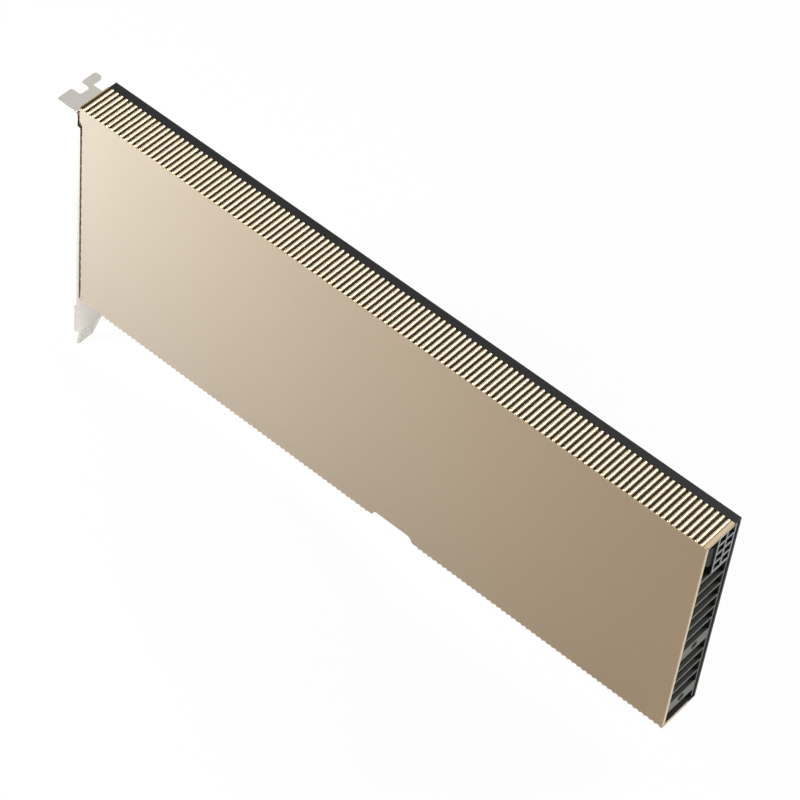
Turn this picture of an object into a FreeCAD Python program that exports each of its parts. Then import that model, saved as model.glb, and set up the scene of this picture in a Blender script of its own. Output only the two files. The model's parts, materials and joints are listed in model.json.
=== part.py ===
# Passive accelerator card: one slot wide, full height, cooled by air blown through it from end to end.
#
# Frame: X runs from the bracket to the rear end, Y from the cover to the back plate, Z up.
# The origin is the middle of the key slot, on the contact edge and halfway through the board.

import FreeCAD, Part
import math
import os
import re
import Sketcher

doc = FreeCAD.newDocument("accelerator_card")
sheet = doc.addObject("Spreadsheet::Sheet", "sizes")

SIZES = [
    # whole card
    ("card_length", 266.7, "outer face of the bracket to the rear end"),
    ("card_height", 111.15, "contact edge to the crests of the upper ribs"),
    ("card_depth", 17.86, "front face of the cover to the outer face of the back plate"),
    ("key_offset", 64.44, "outer face of the bracket to the middle of the key slot"),
    # cover
    ("cover_height", 95.16, "crests of the lower ribs to crests of the upper ribs"),
    ("cover_depth", 14.0, "front face to the board"),
    ("cover_wall", 1.3, "front wall"),
    ("edge_wall", 0.9, "upper and lower wall below the grooves"),
    ("cover_offset", 3.27, "outer face of the bracket to the cover"),
    ("lug_offset", 1.42, "outer face of the bracket to the lug at the cover's upper corner"),
    ("lug_height", 6.5, "crests to the lower end of the lug"),
    ("lug_bevel", 1.8, "slope from the lug back to the cover's edge"),
    ("rib_width", 1.3, "one round rib"),
    ("groove_width", 0.861, "flat between two ribs"),
    ("rib_root", 0.3, "depth to which a rib runs into the wall"),
    ("end_rim", 0.41, "plain rim beside the first groove"),
    ("latch_offset", 85.6, "key slot to the middle of the latch notch"),
    ("latch_width", 15.5, "latch notch at its top"),
    ("latch_mouth", 18.7, "latch notch at the edge"),
    ("latch_depth", 2.9, "depth of the latch notch"),
    ("latch_round", 0.8, "upper corners of the latch notch"),
    ("standoff_radius", 2.2, "tapped post for a screw of the back plate"),
    ("standoff_inset", 2.9, "inside of the cover's wall to the middle of a standoff"),
    ("first_boss", 14.0, "cover's edge to the first boss"),
    ("last_boss", 24.0, "last boss to the rear end"),
    ("edge_screws", 3, "screws along each long edge"),
    # back plate and film
    ("plate_thick", 1.0, "back plate"),
    ("plate_round", 0.5, "outer bend of its flanges"),
    ("flange_drop", 0.45, "crests to the outside of the flange"),
    ("seam_gap", 0.1, "seam between the flange and the cover"),
    ("film_thick", 0.25, "insulating film"),
    ("film_margin", 7.0, "edge of the board to the film"),
    ("film_window", 33.0, "middle of the processor to the edge of the film's window"),
    # board
    ("board_thick", 1.57, "board"),
    ("board_offset", 1.9, "outer face of the bracket to the board"),
    ("board_end", 14.4, "rear edge of the board to the rear end"),
    ("board_gap", 0.3, "board to the flanges"),
    ("board_step", 97.0, "key slot to the step in the lower edge"),
    ("key_width", 1.9, "key slot"),
    ("short_side", 11.65, "tongue on the bracket side of the key"),
    ("long_side", 71.65, "tongue on the other side of the key"),
    ("tongue_height", 8.25, "contact edge to the shoulder"),
    ("tongue_bevel", 0.45, "lead-in bevel of the contact edge"),
    ("hook_gap", 2.8, "tongue to the tip of the hook"),
    ("hook_tip", 2.9, "overhang of the hook"),
    ("hook_back", 5.6, "hook's stem"),
    ("hook_low", 3.2, "contact edge to the underside of the hook"),
    ("hook_high", 6.2, "contact edge to the upper side of the hook's tip"),
    # contacts
    ("contact_width", 0.7, "one contact"),
    ("contact_pitch", 1.0, "contact to contact"),
    ("contact_length", 5.6, "one contact"),
    ("contact_start", 1.2, "contact edge to the contacts"),
    ("contact_thick", 0.05, "plating above the board"),
    ("contact_first", 1.5, "middle of the key to the first contact"),
    ("short_contacts", 11, "contacts on the bracket side of the key, on each face"),
    ("long_contacts", 71, "contacts on the other side, on each face"),
    # processor and memory
    ("chip_x", 118.0, "outer face of the bracket to the middle of the processor"),
    ("chip_z", 51.0, "crests of the lower ribs to the middle of the processor"),
    ("substrate_side", 45.0, "square substrate"),
    ("substrate_thick", 1.2, "substrate"),
    ("ring_width", 4.0, "stiffening ring on the substrate"),
    ("ring_thick", 0.5, "stiffening ring"),
    ("die_width", 26.0, "die along the card"),
    ("die_height", 24.0, "die across the card"),
    ("die_thick", 0.8, "die"),
    ("paste_thick", 0.1, "thermal paste"),
    ("memory_long", 14.0, "memory chip"),
    ("memory_short", 12.0, "memory chip"),
    ("memory_thick", 1.2, "memory chip"),
    ("memory_pitch", 17.0, "memory chip to memory chip"),
    ("memory_column", 31.5, "middle of the processor to a column of memory"),
    ("memory_row", 29.5, "middle of the processor to a row of memory"),
    # power parts
    ("coil_side", 7.0, "square inductor"),
    ("coil_tall", 4.0, "inductor above the board"),
    ("coil_near", 48.0, "middle of the processor to the first column of inductors"),
    ("coil_far", 76.0, "middle of the processor to the second column"),
    ("coil_room", 0.6, "play between the inductors and the heatsink base"),
    ("power_rows", 5, "inductors in a column"),
    ("power_pitch", 15.0, "inductor to inductor"),
    ("stage_width", 5.0, "power stage"),
    ("stage_height", 6.0, "power stage"),
    ("stage_thick", 1.0, "power stage"),
    ("stage_inset", 9.0, "column of inductors to its column of power stages"),
    ("bulk_width", 4.3, "bulk capacitor"),
    ("bulk_height", 7.3, "bulk capacitor"),
    ("bulk_thick", 1.9, "bulk capacitor"),
    ("bulk_x", 88.0, "middle of the processor to the bulk capacitors"),
    ("bulk_pitch", 9.5, "bulk capacitor to bulk capacitor"),
    ("bulk_rows", 7, "bulk capacitors"),
    ("logic_side", 7.0, "square control chip"),
    ("logic_thick", 0.9, "control chip"),
    ("logic_x", 58.0, "control chips to the middle of the processor"),
    ("logic_pitch", 18.0, "control chip to control chip"),
    ("logic_rows", 4, "control chips"),
    ("chip_cap_long", 1.6, "ceramic capacitor behind the processor"),
    ("chip_cap_wide", 0.8, "ceramic capacitor"),
    ("chip_cap_tall", 0.8, "ceramic capacitor"),
    ("chip_cap_pitch", 5.2, "ceramic capacitor to ceramic capacitor"),
    ("chip_cap_rows", 4, "rows and columns of ceramic capacitors"),
    # heatsink
    ("sink_start", 8.0, "outer face of the bracket to the fins"),
    ("sink_end", 31.0, "fins to the rear end"),
    ("sink_margin", 6.5, "inside of the cover's edge to the fins"),
    ("sink_base", 2.6, "base plate"),
    ("fin_thick", 0.4, "one fin, and the foot that joins the fins"),
    ("fin_pitch", 2.0, "fin to fin"),
    ("fin_room", 0.3, "fins to the cover"),
    ("post_radius", 2.2, "screw post below the base"),
    ("post_inset", 28.5, "middle of the processor to the posts, both ways"),
    # rear frame
    ("frame_recess", 0.4, "rear end to the frame's face"),
    ("frame_depth", 13.6, "frame along the card"),
    ("frame_wall", 0.9, "frame's wall against the back plate"),
    ("frame_room", 0.15, "vanes to the cover"),
    ("vane_thick", 0.7, "one vane"),
    ("air_gap", 5.3, "clear height between two vanes"),
    ("low_gap", 4.5, "clear height below the lower bar"),
    ("low_vanes", 3, "vanes between the bars"),
    ("high_vanes", 5, "vanes above the upper bar"),
    ("bar_height", 5.0, "drilled bar"),
    ("bar_hole_radius", 1.25, "tapped hole in the end of a bar"),
    ("bar_hole_depth", 8.0, "tapped hole"),
    ("bar_hole_inset", 8.75, "front face of the cover to the tapped holes"),
    ("ledge_thick", 1.0, "shelf below the power connector"),
    # power connector
    ("plug_recess", 0.2, "rear end to the connector's mouth"),
    ("plug_length", 12.8, "connector housing along the card"),
    ("plug_inset", 1.46, "connector housing to the outer face of the back plate"),
    ("cell_side", 3.5, "one square cell"),
    ("cell_pitch", 4.2, "cell to cell"),
    ("cell_wall", 0.75, "outer wall of the housing"),
    ("cell_depth", 9.5, "cell"),
    ("latch_ramp_width", 9.0, "latch ramp across the card"),
    ("latch_ramp_rise", 2.9, "latch ramp above the housing"),
    ("latch_ramp_length", 5.0, "latch ramp along the card"),
    ("latch_ramp_recess", 0.8, "connector's mouth to the latch ramp"),
    ("pin_side", 1.1, "square pin"),
    ("pin_recess", 1.6, "connector's mouth to the tips of the pins"),
    ("tail_near", 3.2, "housing to the nearer row of solder tails"),
    ("tail_far", 6.4, "housing to the further row of solder tails"),
    ("tail_hole", 0.9, "radius of a solder hole"),
    ("tail_stub", 0.6, "solder tail behind the board"),
    ("tail_rise", 1.35, "board to the middle of the pins that run along it"),
    ("tail_jog", 0.14, "board's rear edge to those pins"),
    # bracket
    ("sheet_thick", 0.86, "bracket sheet"),
    ("bend_inside", 0.5, "inner radius of the bracket's bends"),
    ("bracket_lead", 0.2, "front edge of the bracket ahead of the cover's face"),
    ("bracket_width", 18.42, "bracket"),
    ("bracket_height", 120.02, "upper side of the screw flange to the tip of the tab"),
    ("flange_level", 3.1, "crests to the upper side of the screw flange"),
    ("flange_reach", 8.9, "outer face of the bracket to the edge of the screw flange"),
    ("flange_round", 1.0, "corners of the screw flange"),
    ("screw_notch_width", 4.42, "notch for the chassis screw"),
    ("screw_notch_depth", 4.2, "notch for the chassis screw"),
    ("neck_width", 13.4, "screw flange beside the bend"),
    ("arm_depth", 3.4, "rear arm of the screw flange"),
    ("shoulder_drop", 5.0, "screw flange to the plate's upper rear corner"),
    ("lip_reach", 2.1, "outer face of the bracket to the edge of its front lip"),
    ("lip_top", 9.26, "crests to the top of the lip"),
    ("lip_low", 4.7, "lower crests to the bottom of the lip"),
    ("tab_width", 13.2, "tab"),
    ("tab_bend", 8.4, "tip of the tab to its bend"),
    ("tab_lean", 1.5, "tip of the tab ahead of the outer face"),
    ("tip_inset", 2.8, "front edge of the tab to its tip"),
    ("tip_width", 7.4, "end of the tip"),
    ("tip_height", 7.0, "straight side of the tip"),
    ("tip_shoulder", 3.2, "slope from the tip to the tab's front edge"),
    ("tip_bevel", 2.6, "slope at the rear of the tip"),
    ("vent_length", 11.4, "vent slot"),
    ("vent_width", 2.6, "vent slot"),
    ("vent_cut", 0.8, "corners of a vent slot"),
    ("vent_pitch", 4.4, "vent slot to vent slot"),
    ("vent_low", 8.0, "lower crests to the first vent slot"),
    ("vent_high", 14.0, "last vent slot to the upper crests"),
    ("ear_length", 11.0, "outer face of the bracket to the end of an ear"),
    ("ear_height", 9.0, "ear"),
    ("ear_low", 4.0, "lower crests to the lower ear"),
    ("ear_high", 13.0, "upper ear to the upper crests"),
    ("ear_hole", 7.0, "outer face of the bracket to the hole in an ear"),
    # screws
    ("screw_radius", 1.2, "shank"),
    ("screw_hole", 1.4, "clearance hole"),
    ("screw_tap", 1.25, "hole in a boss, post or bar"),
    ("screw_bite", 5.0, "screw in its boss"),
    ("head_radius", 2.31, "countersunk head"),
    ("sink_depth", 0.9, "countersink in the back plate"),
    ("strip_width", 2.2, "strips that hold the back plate off the board"),
    ("strip_offset", 1.7, "middle of a row of screws to the strip beside it"),
    ("strip_end", 9.0, "end of the board to the end of a strip"),
    ("bracket_screw_radius", 1.4, "shank of a bracket screw"),
    ("bracket_screw_hole", 1.5, "hole for it"),
    ("bracket_head_radius", 2.5, "its flat head"),
    ("bracket_head_height", 0.9, "its flat head"),
]

PLACES = {
    "x_out": "(0 - key_offset)",
    "x_rear": "(card_length - key_offset)",
    "x_step": "(board_step + z_board_low - tongue_height)",
    "x_lug": "(lug_offset - key_offset)",
    "x_cut": "(cover_offset - key_offset)",
    "x_board": "(board_offset - key_offset)",
    "x_board_end": "(x_rear - board_end)",
    "x_chip": "(chip_x - key_offset)",
    "x_sink": "(sink_start - key_offset)",
    "x_sink_end": "(x_rear - sink_end)",
    "x_frame": "(x_rear - frame_recess)",
    "x_frame_in": "(x_frame - frame_depth)",
    "x_plug": "(x_rear - plug_recess)",
    "x_plug_in": "(x_plug - plug_length)",
    "x_first": "(x_cut + first_boss)",
    "x_last": "(x_rear - last_boss)",
    "y_board": "(0 - board_thick / 2)",
    "y_behind": "(board_thick / 2)",
    "y_face": "(y_board - cover_depth)",
    "y_inside": "(y_face + cover_wall)",
    "y_back": "(y_face + card_depth)",
    "y_plate": "(y_back - plate_thick)",
    "y_base": "(y_board - substrate_thick - die_thick - paste_thick)",
    "y_sink": "(y_base - sink_base)",
    "y_fins": "(y_inside + fin_room)",
    "y_plug_back": "(y_back - plug_inset)",
    "y_plug_front": "(y_plug_back - cell_pitch - cell_side - 2 * cell_wall)",
    "y_bracket": "(y_face - bracket_lead)",
    "rib_rise": "(rib_width / 2)",
    "head_height": "((head_radius - screw_radius) * cos(180 / 8))",
    "z_row_low": "(z_in_low + standoff_inset)",
    "z_row_high": "(z_in_top - standoff_inset)",
    "z_top": "card_height",
    "z_low": "(card_height - cover_height)",
    "z_roof": "(z_top - rib_rise)",
    "z_floor": "(z_low + rib_rise)",
    "z_in_top": "(z_roof - edge_wall)",
    "z_in_low": "(z_floor + edge_wall)",
    "z_plate_top": "(z_top - flange_drop)",
    "z_plate_low": "(z_low + flange_drop)",
    "z_board_top": "(z_plate_top - plate_thick - board_gap)",
    "z_board_low": "(z_plate_low + plate_thick + board_gap)",
    "z_chip": "(z_low + chip_z)",
    "z_sink_low": "(z_in_low + sink_margin)",
    "z_sink_top": "(z_in_top - sink_margin)",
    "z_bar_low": "(z_in_low + low_gap + bar_height / 2)",
    "vane_step": "(air_gap + vane_thick)",
    "z_bar_high": "(z_bar_low + bar_height + air_gap + low_vanes * vane_step)",
    "z_ledge": "(z_bar_high + bar_height / 2 + air_gap + high_vanes * vane_step)",
    "z_plug": "(z_ledge + ledge_thick)",
    "z_plug_top": "(z_plug + 3 * cell_pitch + cell_side + 2 * cell_wall)",
    "z_flange": "(card_height - flange_level)",
    "z_tip": "(z_flange - bracket_height)",
    "bend_outside": "(bend_inside + sheet_thick)",
    "rib_pitch": "(rib_width + groove_width)",
    "tongue_end": "(key_width / 2 + long_side)",
    "tongue_start": "(key_width / 2 + short_side)",
}

ALIASES = {alias for alias, _, _ in SIZES}
NORMAL = FreeCAD.Vector(0, 0, 1)
SIDES = 8
RIB_PROFILE = ((-1, 0), (-0.5, 1), (0.5, 1), (1, 0))
EVEN = -1.0
CLOSE = 0.01
AXES = {"X": "X_Axis", "Y": "Y_Axis", "Z": "Z_Axis"}
nodes = []


def fill_sheet():
    for row, (alias, value, note) in enumerate(SIZES, start=1):
        sheet.set(f"A{row}", alias)
        sheet.set(f"B{row}", str(value))
        sheet.set(f"C{row}", note)
        sheet.setAlias(f"B{row}", alias)
    doc.recompute()


def linked(words):
    """An expression on the sheet's cells, from one that uses the plain names of sizes and places."""
    words = str(words)
    while any(word in PLACES for word in re.findall(r"[a-z_]+", words)):
        words = re.sub(r"[a-z_]+", lambda found: PLACES.get(found[0], found[0]), words)
    return re.sub(r"[a-z_]+", lambda found: "sizes." + found[0] if found[0] in ALIASES else found[0], words)


def number(words):
    return float(sheet.evalExpression(linked(words)))


def bind(thing, **properties):
    for name, words in properties.items():
        thing.setExpression(name.replace("__", "."), linked(words))


# ---- building helpers ----


def body_for(label):
    body = doc.addObject("PartDesign::Body", label)
    nodes.append(body)
    return body


def origin_part(body, role):
    return next(item for item in body.Origin.OriginFeatures if item.Role == role)


def sketch(body, plane, at):
    """A sketch parallel to one of the body's planes, at a distance along X, Y or Z."""
    drawn = body.newObject("Sketcher::SketchObject", body.Name + "_sketch")
    drawn.AttachmentSupport = (origin_part(body, plane + "_Plane"), [""])
    drawn.MapMode = "FlatFace"
    # the XZ plane's normal points along -Y
    bind(drawn, AttachmentOffset__Base__z=f"0 - ({at})" if plane == "XZ" else at)
    return drawn


def hold(drawn, kind, where, words):
    """Holds a point of the sketch, given as (geometry, end), at a bound distance from the origin."""
    place = drawn.addConstraint(Sketcher.Constraint(kind, -1, 1, *where, number(words)))
    bind(drawn, **{f"Constraints[{place}]": words})


def outline(drawn, corners):
    """A closed outline of straight lines. Each corner is a pair of expressions."""
    first = drawn.GeometryCount
    points = [FreeCAD.Vector(number(u), number(v), 0) for u, v in corners]
    count = len(points)
    for k in range(count):
        drawn.addGeometry(Part.LineSegment(points[k], points[(k + 1) % count]), False)
    for k in range(count):
        following = first + (k + 1) % count
        drawn.addConstraint(Sketcher.Constraint("Coincident", first + k, 2, following, 1))
    for k, (u, v) in enumerate(corners):
        hold(drawn, "DistanceX", (first + k, 1), u)
        hold(drawn, "DistanceY", (first + k, 1), v)


def rectangle(drawn, low_u, low_v, high_u, high_v):
    outline(drawn, [(low_u, low_v), (high_u, low_v), (high_u, high_v), (low_u, high_v)])


def polygon(drawn, u, v, radius):
    """A regular outline for the small round parts that repeat, which keeps their facets few."""
    turns = [(k + 0.5) * 2 * math.pi / SIDES for k in range(SIDES)]
    spots = [(round(math.cos(turn), 6), round(math.sin(turn), 6)) for turn in turns]
    outline(drawn, [(f"{u} + {radius} * ({a})", f"{v} + {radius} * ({b})") for a, b in spots])


def circle(drawn, u, v, radius):
    middle = FreeCAD.Vector(number(u), number(v), 0)
    ring = drawn.addGeometry(Part.Circle(middle, NORMAL, number(radius)), False)
    hold(drawn, "DistanceX", (ring, 3), u)
    hold(drawn, "DistanceY", (ring, 3), v)
    place = drawn.addConstraint(Sketcher.Constraint("Radius", ring, number(radius)))
    bind(drawn, **{f"Constraints[{place}]": radius})


def extruded(body, kind, drawn, length, reverse):
    made = body.newObject("PartDesign::" + kind, body.Name + "_" + kind.lower())
    made.Profile = drawn
    made.Reversed = reverse
    bind(made, Length=length)
    body.Tip = made
    return made


def pad(body, drawn, length, reverse=False):
    return extruded(body, "Pad", drawn, length, reverse)


def pocket(body, drawn, length, reverse=False):
    return extruded(body, "Pocket", drawn, length, reverse)


def repeated(body, features, axis, count, step, across=None):
    """A row of copies along an axis, each one step from the last. across adds more such rows."""
    row = body.newObject("PartDesign::LinearPattern", body.Name + "_row")
    row.Originals = features
    row.Direction = (origin_part(body, AXES[axis]), [""])
    row.Mode = "Spacing"
    bind(row, Offset=step, Occurrences=count)
    row.Spacings = [EVEN] * (int(number(count)) - 1)
    if across:
        axis, count, step = across
        row.Direction2 = (origin_part(body, AXES[axis]), [""])
        row.Mode2 = "Spacing"
        bind(row, Offset2=step, Occurrences2=count)
        row.Spacings2 = [EVEN] * (int(number(count)) - 1)
    body.Tip = row
    return row


def over(body, features, grid):
    """Copies of what was made at a grid's first place, at all its places. No features: of the whole body."""
    _, _, columns, x_step, rows, z_step = grid
    row = repeated(body, features, "Z", rows, z_step, across=("X", columns, x_step))
    if not features:
        # what is copied has to be there before the row is
        doc.recompute()
        row.TransformMode = "Whole shape"


def holes(body, plane_at, radius, depth, grid, reverse):
    """Round holes along Y at all the places of a grid."""
    drawn = sketch(body, "XZ", plane_at)
    polygon(drawn, grid[0], grid[1], radius)
    over(body, [pocket(body, drawn, depth, reverse=reverse)], grid)


def posts(body, plane_at, radius, length, grid, reverse):
    """Round posts along Y at all the places of a grid."""
    drawn = sketch(body, "XZ", plane_at)
    polygon(drawn, grid[0], grid[1], radius)
    over(body, [pad(body, drawn, length, reverse=reverse)], grid)


def rounded(body, radius, wanted, kind="Fillet"):
    """Rounds or chamfers the edges of the body's last shape that wanted(edge) accepts."""
    doc.recompute()
    base = body.Tip
    edges = [f"Edge{k}" for k, edge in enumerate(base.Shape.Edges, start=1) if wanted(edge)]
    made = body.newObject("PartDesign::" + kind, body.Name + "_" + kind.lower())
    made.Base = (base, edges)
    bind(made, **{"Radius" if kind == "Fillet" else "Size": radius})
    body.Tip = made
    return made


def along(edge, axis):
    """Whether an edge is a straight line along an axis."""
    if edge.Curve.TypeId != "Part::GeomLine":
        return False
    direction = edge.tangentAt(edge.FirstParameter)
    return abs(abs(getattr(direction, axis)) - 1) < 1e-6


def near(edge, **places):
    """Whether an edge's middle lies at the given places, each an expression."""
    middle = edge.BoundBox.Center
    return all(abs(getattr(middle, axis) - number(words)) < CLOSE for axis, words in places.items())


def block(label, low, size):
    """A box from its low corner and its size, three expressions each."""
    made = doc.addObject("Part::Box", label)
    bind(made, Length=size[0], Width=size[1], Height=size[2])
    bind(made, Placement__Base__x=low[0], Placement__Base__y=low[1], Placement__Base__z=low[2])
    return made


def group(label, members):
    """Identical separate solids that share one node."""
    made = doc.addObject("Part::Compound", label)
    made.Links = members
    nodes.append(made)
    return made


def chips(label, places, wide, tall, thick, base="y_board"):
    """Flat parts on the board's front face, centred on (x, z) places."""
    return [
        block(
            f"{label}_{k}",
            (f"{x} - ({wide}) / 2", f"{base} - ({thick})", f"{z} - ({tall}) / 2"),
            (wide, thick, tall),
        )
        for k, (x, z) in enumerate(places)
    ]


# ---- where things are fixed ----
# each grid: first x, first z, columns, step along X, rows, step along Z

EDGE_SCREWS = (
    "x_first",
    "z_row_low",
    "edge_screws",
    "(x_last - x_first) / (edge_screws - 1)",
    "2",
    "(z_row_high - z_row_low)",
)
POSTS = ("(x_chip - post_inset)", "(z_chip - post_inset)", "2", "2 * post_inset", "2", "2 * post_inset")
FRAME_SCREWS = ("(x_frame - frame_depth / 2)", "z_bar_low", "1", "1", "2", "(z_bar_high - z_bar_low)")
EARS = (
    "(x_out + ear_hole)",
    "(z_low + ear_low + ear_height / 2)",
    "1",
    "1",
    "2",
    "(cover_height - ear_high - ear_low - ear_height)",
)
TAILS = (
    "(x_plug_in - tail_far)",
    "(z_plug + cell_wall + cell_side / 2)",
    "2",
    "(tail_far - tail_near)",
    "4",
    "cell_pitch",
)


def cell_rows():
    return [f"(z_plug + cell_wall + cell_side / 2 + {k} * cell_pitch)" for k in range(4)]


def cell_columns():
    far = "(y_plug_back - cell_wall - cell_side / 2)"
    return [f"({far} - cell_pitch)", far]


# ---- cover ----


def rib_row(body, start, wall, side):
    """Round ribs along one edge of the cover, with a plain rim at each end."""
    outward = "+" if side > 0 else "-"
    inward = "-" if side > 0 else "+"
    middle = f"({start} + end_rim + groove_width + rib_width / 2)"
    root = f"({wall} {inward} rib_root)"
    crest = f"({wall} {outward} rib_rise)"
    corners = [
        (f"{middle} + rib_rise * ({across})", f"{wall} {outward} rib_rise * {out}") for across, out in RIB_PROFILE
    ]
    corners += [(f"{middle} + rib_rise", root), (f"{middle} - rib_rise", root)]
    drawn = sketch(body, "XZ", "y_face")
    outline(drawn, corners)
    rib = pad(body, drawn, "cover_depth", reverse=True)
    length = number(f"x_rear - {start} - 2 * end_rim - groove_width")
    count = int(length / number("rib_pitch"))
    repeated(body, [rib], "X", count, "rib_pitch")

    rims = sketch(body, "XZ", "y_face")
    low, high = (root, crest) if side > 0 else (crest, root)
    rectangle(rims, start, low, f"{start} + end_rim", high)
    pad(body, rims, "cover_depth", reverse=True)
    last_rib = f"({start} + end_rim + {count} * rib_pitch - rib_width / 2)"
    rims = sketch(body, "XZ", "y_face")
    rectangle(rims, last_rib, low, "x_rear", high)
    pad(body, rims, "cover_depth", reverse=True)


def latch_bump(side):
    """Corners of the bump over the latch notch, on one side of its middle."""
    return [
        (f"latch_offset {side} (latch_mouth / 2 + edge_wall)", "z_in_low"),
        (f"latch_offset {side} (latch_width / 2 + edge_wall)", "z_low + latch_depth + edge_wall"),
    ]


def make_front_cover():
    """The cover's front wall, between the rails."""
    body = body_for("front_cover")
    wall = sketch(body, "XZ", "y_face")
    outline(
        wall,
        [("x_cut", "z_in_low")]
        + latch_bump("-")
        + latch_bump("+")[::-1]
        + [
            ("x_rear", "z_in_low"),
            ("x_rear", "z_in_top"),
            ("x_lug", "z_in_top"),
            ("x_lug", "z_top - lug_height"),
            ("x_cut", "z_top - lug_height - lug_bevel"),
        ],
    )
    pad(body, wall, "cover_wall", reverse=True)


def make_cover_standoffs():
    """Tapped posts on the cover's front wall, which take the screws of the back plate."""
    body = body_for("cover_standoffs")
    posts(body, "y_inside", "standoff_radius", "cover_depth - cover_wall", EDGE_SCREWS, reverse=True)
    holes(body, "y_board", "screw_tap", "screw_bite + 1", EDGE_SCREWS, reverse=True)


def make_upper_rail():
    """The cover's upper wall. It is fluted outside and plain inside."""
    body = body_for("upper_rail")
    wall = sketch(body, "XZ", "y_face")
    rectangle(wall, "x_lug", "z_in_top", "x_rear", "z_roof")
    pad(body, wall, "cover_depth", reverse=True)
    rib_row(body, "x_lug", "z_roof", 1)


def make_lower_rail():
    """The cover's lower wall, with the notch that clears the latch of the slot."""
    body = body_for("lower_rail")
    wall = sketch(body, "XZ", "y_face")
    outline(
        wall,
        [("x_cut", "z_in_low")]
        + latch_bump("-")
        + latch_bump("+")[::-1]
        + [("x_rear", "z_in_low"), ("x_rear", "z_floor"), ("x_cut", "z_floor")],
    )
    pad(body, wall, "cover_depth", reverse=True)
    rib_row(body, "x_cut", "z_floor", -1)
    notch = sketch(body, "XZ", "y_face")
    outline(
        notch,
        [
            ("latch_offset - latch_mouth / 2", "z_low"),
            ("latch_offset - latch_mouth / 2", "z_low - 1"),
            ("latch_offset + latch_mouth / 2", "z_low - 1"),
            ("latch_offset + latch_mouth / 2", "z_low"),
            ("latch_offset + latch_width / 2", "z_low + latch_depth"),
            ("latch_offset - latch_width / 2", "z_low + latch_depth"),
        ],
    )
    pocket(body, notch, "cover_depth", reverse=False)
    sides = [f"latch_offset {sign} latch_width / 2" for sign in "+-"]
    rounded(
        body,
        "latch_round",
        lambda edge: along(edge, "y") and any(near(edge, x=side, z="z_low + latch_depth") for side in sides),
    )


# ---- back plate, film and spacers ----


def make_back_plate():
    body = body_for("back_plate")
    folded = sketch(body, "YZ", "x_lug")
    outline(
        folded,
        [
            ("y_back", "z_plate_low"),
            ("y_back", "z_plate_top"),
            ("y_board + seam_gap", "z_plate_top"),
            ("y_board + seam_gap", "z_plate_top - plate_thick"),
            ("y_plate", "z_plate_top - plate_thick"),
            ("y_plate", "z_plate_low"),
        ],
    )
    pad(body, folded, "x_rear - x_lug")
    lower = sketch(body, "YZ", "x_step + board_gap")
    rectangle(lower, "y_board + seam_gap", "z_plate_low", "y_back", "z_plate_low + plate_thick")
    pad(body, lower, "x_rear - x_step - board_gap")
    rounded(
        body,
        "plate_round",
        lambda edge: along(edge, "x") and near(edge, y="y_back") and edge.Length > number("x_rear") / 4,
    )
    for grid in (EDGE_SCREWS, POSTS, FRAME_SCREWS):
        holes(body, "y_back", "screw_hole", "plate_thick", grid, reverse=True)
    rounded(
        body,
        "sink_depth",
        lambda edge: near(edge, y="y_back") and edge.Length < number("screw_hole"),
        kind="Chamfer",
    )


def make_insulating_film():
    body = body_for("insulating_film")
    sheet_outline = sketch(body, "XZ", "y_plate")
    rectangle(
        sheet_outline,
        "x_board + film_margin",
        "z_board_low + film_margin",
        "x_board_end - film_margin",
        "z_board_top - film_margin",
    )
    low, high = [f"x_chip {sign} film_window" for sign in "-+"]
    rectangle(sheet_outline, low, "z_chip - film_window", high, "z_chip + film_window")
    pad(body, sheet_outline, "film_thick")


def make_back_spacers():
    """Strips beside the rows of screws, and one inside each pair of posts."""
    deep = "y_plate - y_behind"
    upper = "z_row_high - strip_offset - strip_width"
    long_size = ("x_board_end - x_board - 2 * strip_end", deep, "strip_width")
    parts = [
        block("spacer_low", ("x_board + strip_end", "y_behind", "z_row_low + strip_offset"), long_size),
        block("spacer_high", ("x_board + strip_end", "y_behind", upper), long_size),
    ]
    left = "x_chip - post_inset + strip_offset"
    right = "x_chip + post_inset - strip_offset - strip_width"
    short_size = ("strip_width", deep, "2 * post_inset")
    for side, x in (("left", left), ("right", right)):
        parts.append(block(f"spacer_{side}", (x, "y_behind", "z_chip - post_inset"), short_size))
    group("back_spacers", parts)


# ---- board and what is soldered to it ----


def make_circuit_board():
    body = body_for("circuit_board")
    key = "key_width / 2"
    shape = sketch(body, "XZ", "y_board")
    hook = "(tongue_end + hook_gap)"
    outline(
        shape,
        [
            ("x_board", "tongue_height"),
            ("0 - tongue_start", "tongue_height"),
            ("0 - tongue_start", "0"),
            (f"0 - {key}", "0"),
            (f"0 - {key}", "tongue_height"),
            (key, "tongue_height"),
            (key, "0"),
            ("tongue_end", "0"),
            ("tongue_end", "tongue_height"),
            (f"{hook} + hook_tip", "tongue_height"),
            (f"{hook} + hook_tip", "hook_high"),
            (hook, "hook_high"),
            (hook, "hook_low"),
            (f"{hook} + hook_tip + hook_back", "hook_low"),
            (f"{hook} + hook_tip + hook_back", "tongue_height"),
            ("board_step", "tongue_height"),
            ("x_step", "z_board_low"),
            ("x_board_end", "z_board_low"),
            ("x_board_end", "z_board_top"),
            ("x_board", "z_board_top"),
        ],
    )
    pad(body, shape, "board_thick", reverse=True)
    drilled = [(EDGE_SCREWS, "screw_hole"), (POSTS, "screw_hole")]
    drilled += [(EARS, "bracket_screw_hole"), (TAILS, "tail_hole")]
    for grid, radius in drilled:
        holes(body, "y_board", radius, "board_thick", grid, reverse=False)
    rounded(
        body,
        "tongue_bevel",
        lambda edge: along(edge, "x") and near(edge, z="0"),
        kind="Chamfer",
    )


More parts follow.
